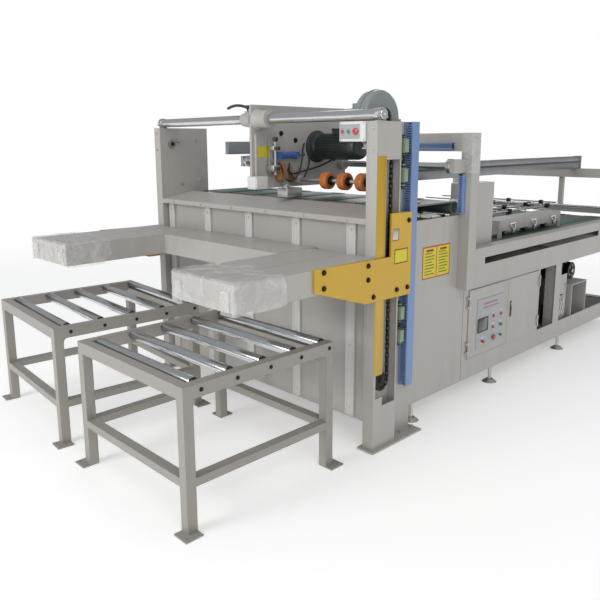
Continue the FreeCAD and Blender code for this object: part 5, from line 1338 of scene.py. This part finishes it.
for name, x, z in (("feed_drum", 0.310, 1.262), ("bed_drum", 3.640, 0.919)):
    rings = [ringed([(y + along, radius) for along, radius in ring_profile], (x, 0, z), "y", 40)
             for y in BELT_Y]
    piece(name + "_rings", name, [(joined(*rings), orange_rubber)])


# ---- gantry and gate trim: the fold rail's bright faces, its hose, brackets and small fittings ----
# The fold rail is an aluminium section with a dark groove, a flush black strip that is painted shade for the
# slot. A black hose drops from it behind the gate.
RAIL_START, RAIL_END = 0.990, 3.716
rail_face = joined(block((RAIL_START, 0.5575, 1.392), (RAIL_END, 0.5597, 1.448), 0.0008, "x"),
                   block((RAIL_START, 0.5575, 1.462), (RAIL_END, 0.5597, 1.500), 0.0008, "x"),
                   block((RAIL_START, 0.5570, 1.5002), (3.718, 0.6230, 1.5035), 0.0012, "x"))
# The groove is a black strip level with the faces, painted shade for the inside of the slot.
rail_groove_shade = slab((RAIL_START, 0.5585, 1.447), (RAIL_END, 0.5597, 1.463))
hose = tube_along([(1.000, 0.545, 1.500), (1.012, 0.520, 1.490), (1.020, 0.505, 1.440),
                   (1.014, 0.500, 1.370), (0.998, 0.510, 1.325), (0.985, 0.530, 1.305)], 0.011, 12)
rail_aluminium = brushed("rail_aluminium", (0.34, 0.345, 0.36), 0.36, (12.0, 600.0, 600.0), dust=0.35)
piece("rail_cladding", "root", [(rail_face, rail_aluminium), (joined(rail_groove_shade, hose), black_plastic)])
# A dark sheet behind the glue roll is painted shade for the dark inside of the feed area.
shade_shroud = block((0.380, 0.5600, 0.900), (0.875, 0.5620, 1.215), 0.0008)
roll_axis = (0.640, 0, 1.166)
glue_roll = turned([(0.1120, 0), (0.1120, 0.040), (0.1150, 0.043), (0.2620, 0.043), (0.2650, 0.040),
                    (0.2650, 0)], roll_axis, "y", 40)
roll_shaft = rod(0.0765, 0.5600, 0.012, roll_axis, "y", 20)
ochre_rubber = enamel("ochre_rubber", (0.30, 0.19, 0.035), gloss=0.45, dust=(0.20, 0.15, 0.09),
                      amount=0.4, edge=0.0)
piece("feed_shade_sheet", "root", [(shade_shroud, shade_sheet_paint), (glue_roll, ochre_rubber), (roll_shaft, zinc)])
white_block = block((0.880, 0.0704, 1.232), (0.930, 0.150, 1.300), 0.003)
yellow_clamp = joined(block((0.420, 0.130, 1.3003), (0.560, 0.172, 1.3120), 0.002),
                      block((0.455, 0.140, 1.3120), (0.475, 0.162, 1.3220), 0.002))
far_bracket = block((0.575, 1.9005, 1.560), (0.955, 1.9396, 1.655), 0.002)
low_bracket = joined(*[block((0.030, y, 0.200), (0.0655, y + 0.006, 0.262), 0.002, "x")
                       for y in (0.900, 0.960)],
                     block((0.030, 0.898, 0.196), (0.0655, 0.968, 0.202), 0.002, "x"))
piece("gate_fittings", "root",
      [(white_block, white_plastic), (joined(yellow_clamp, low_bracket), yellow_paint),
       (far_bracket, blower_paint)])

PANEL_FACE = 0.0700
warning_red = sticker((0.510, 0.865), (0.790, 1.055), PANEL_FACE - 0.0001, 0.0007)
warning_yellow = [sticker((x, 0.872), (x + 0.1295, 1.048), PANEL_FACE - 0.0005, 0.0007)
                  for x in (0.517, 0.6535)]
warning_lines = [sticker((x, z), (x + 0.094 - 0.022 * (step % 3 == 1), z + 0.0052), PANEL_FACE - 0.0010,
                         0.0005)
                 for x in (0.534, 0.671) for step, z in enumerate(np.linspace(0.889, 1.011, 8))]
warning_heads = [sticker((x, 1.024), (x + 0.070, 1.036), PANEL_FACE - 0.0010, 0.0005) for x in (0.546, 0.683)]
piece("panel_sticker", "root", [(warning_red, label_red), (joined(*warning_yellow), label_yellow),
                                (joined(*warning_lines), label_line), (joined(*warning_heads), label_red)])
panel_screw = turned([(0.0699, 0), (0.0699, 0.0062), (0.0680, 0.0052), (0.0672, 0.0020), (0.0672, 0)],
                     (0, 0, 0), "y", 16)
panel_screw = copies(panel_screw, [(x, 0, z) for x, z in (
    (0.830, 1.180), (0.420, 1.180), (0.830, 0.180), (0.420, 0.180), (0.990, 0.180), (1.760, 0.180),
    (2.320, 0.300), (2.320, 0.690), (3.400, 0.180), (3.400, 0.690))])
seam = slab((0.9655, 0.0694, 0.142), (0.9675, 0.0700, 0.758))
piece("panel_screws", "root", [(both(panel_screw), zinc),
                               (both(seam), black_plastic)])


# ---- film on the gate: clear protective sheet still wrapped round the top of the near column ----
# It goes round the column's outer, front and inner faces, crumpled, with loose edges top and bottom.
def gate_wrap(seed):
    """Points of the film, row by row down the column: round three faces in plan, pushed out by its folds."""
    girth, drop, outer, front = 0.26, 0.235, 0.090, 0.070
    column_back, column_top = 0.966, 1.694
    u, v = np.meshgrid(np.linspace(0, 1, 150), np.linspace(0, 1, 150), indexing="ij")
    run = u * girth
    out = np.maximum(0.0022 + 0.0016 * crumple(run, 0.26 * v, seed, reach=(4.0, 16.0)), 0.0006)
    on_outer, on_front = run < outer, (run >= outer) & (run < outer + front)
    x = column_back - np.clip(run, 0, outer) + np.clip(run - outer - front, 0, 0.10)
    y = np.clip(run - outer, 0, front)
    x = x - np.where(on_front, out, 0.0)
    y = y + np.where(on_outer, -out, np.where(on_front, 0.0, out))
    ragged = 0.012 * crumple(run, 0 * v, seed + 3, 6, (3.0, 12.0))
    return np.stack([x, y, column_top - v * (drop + ragged)], -1)


gate_film = surface_piece("gate_film", "root", gate_wrap(91), film)
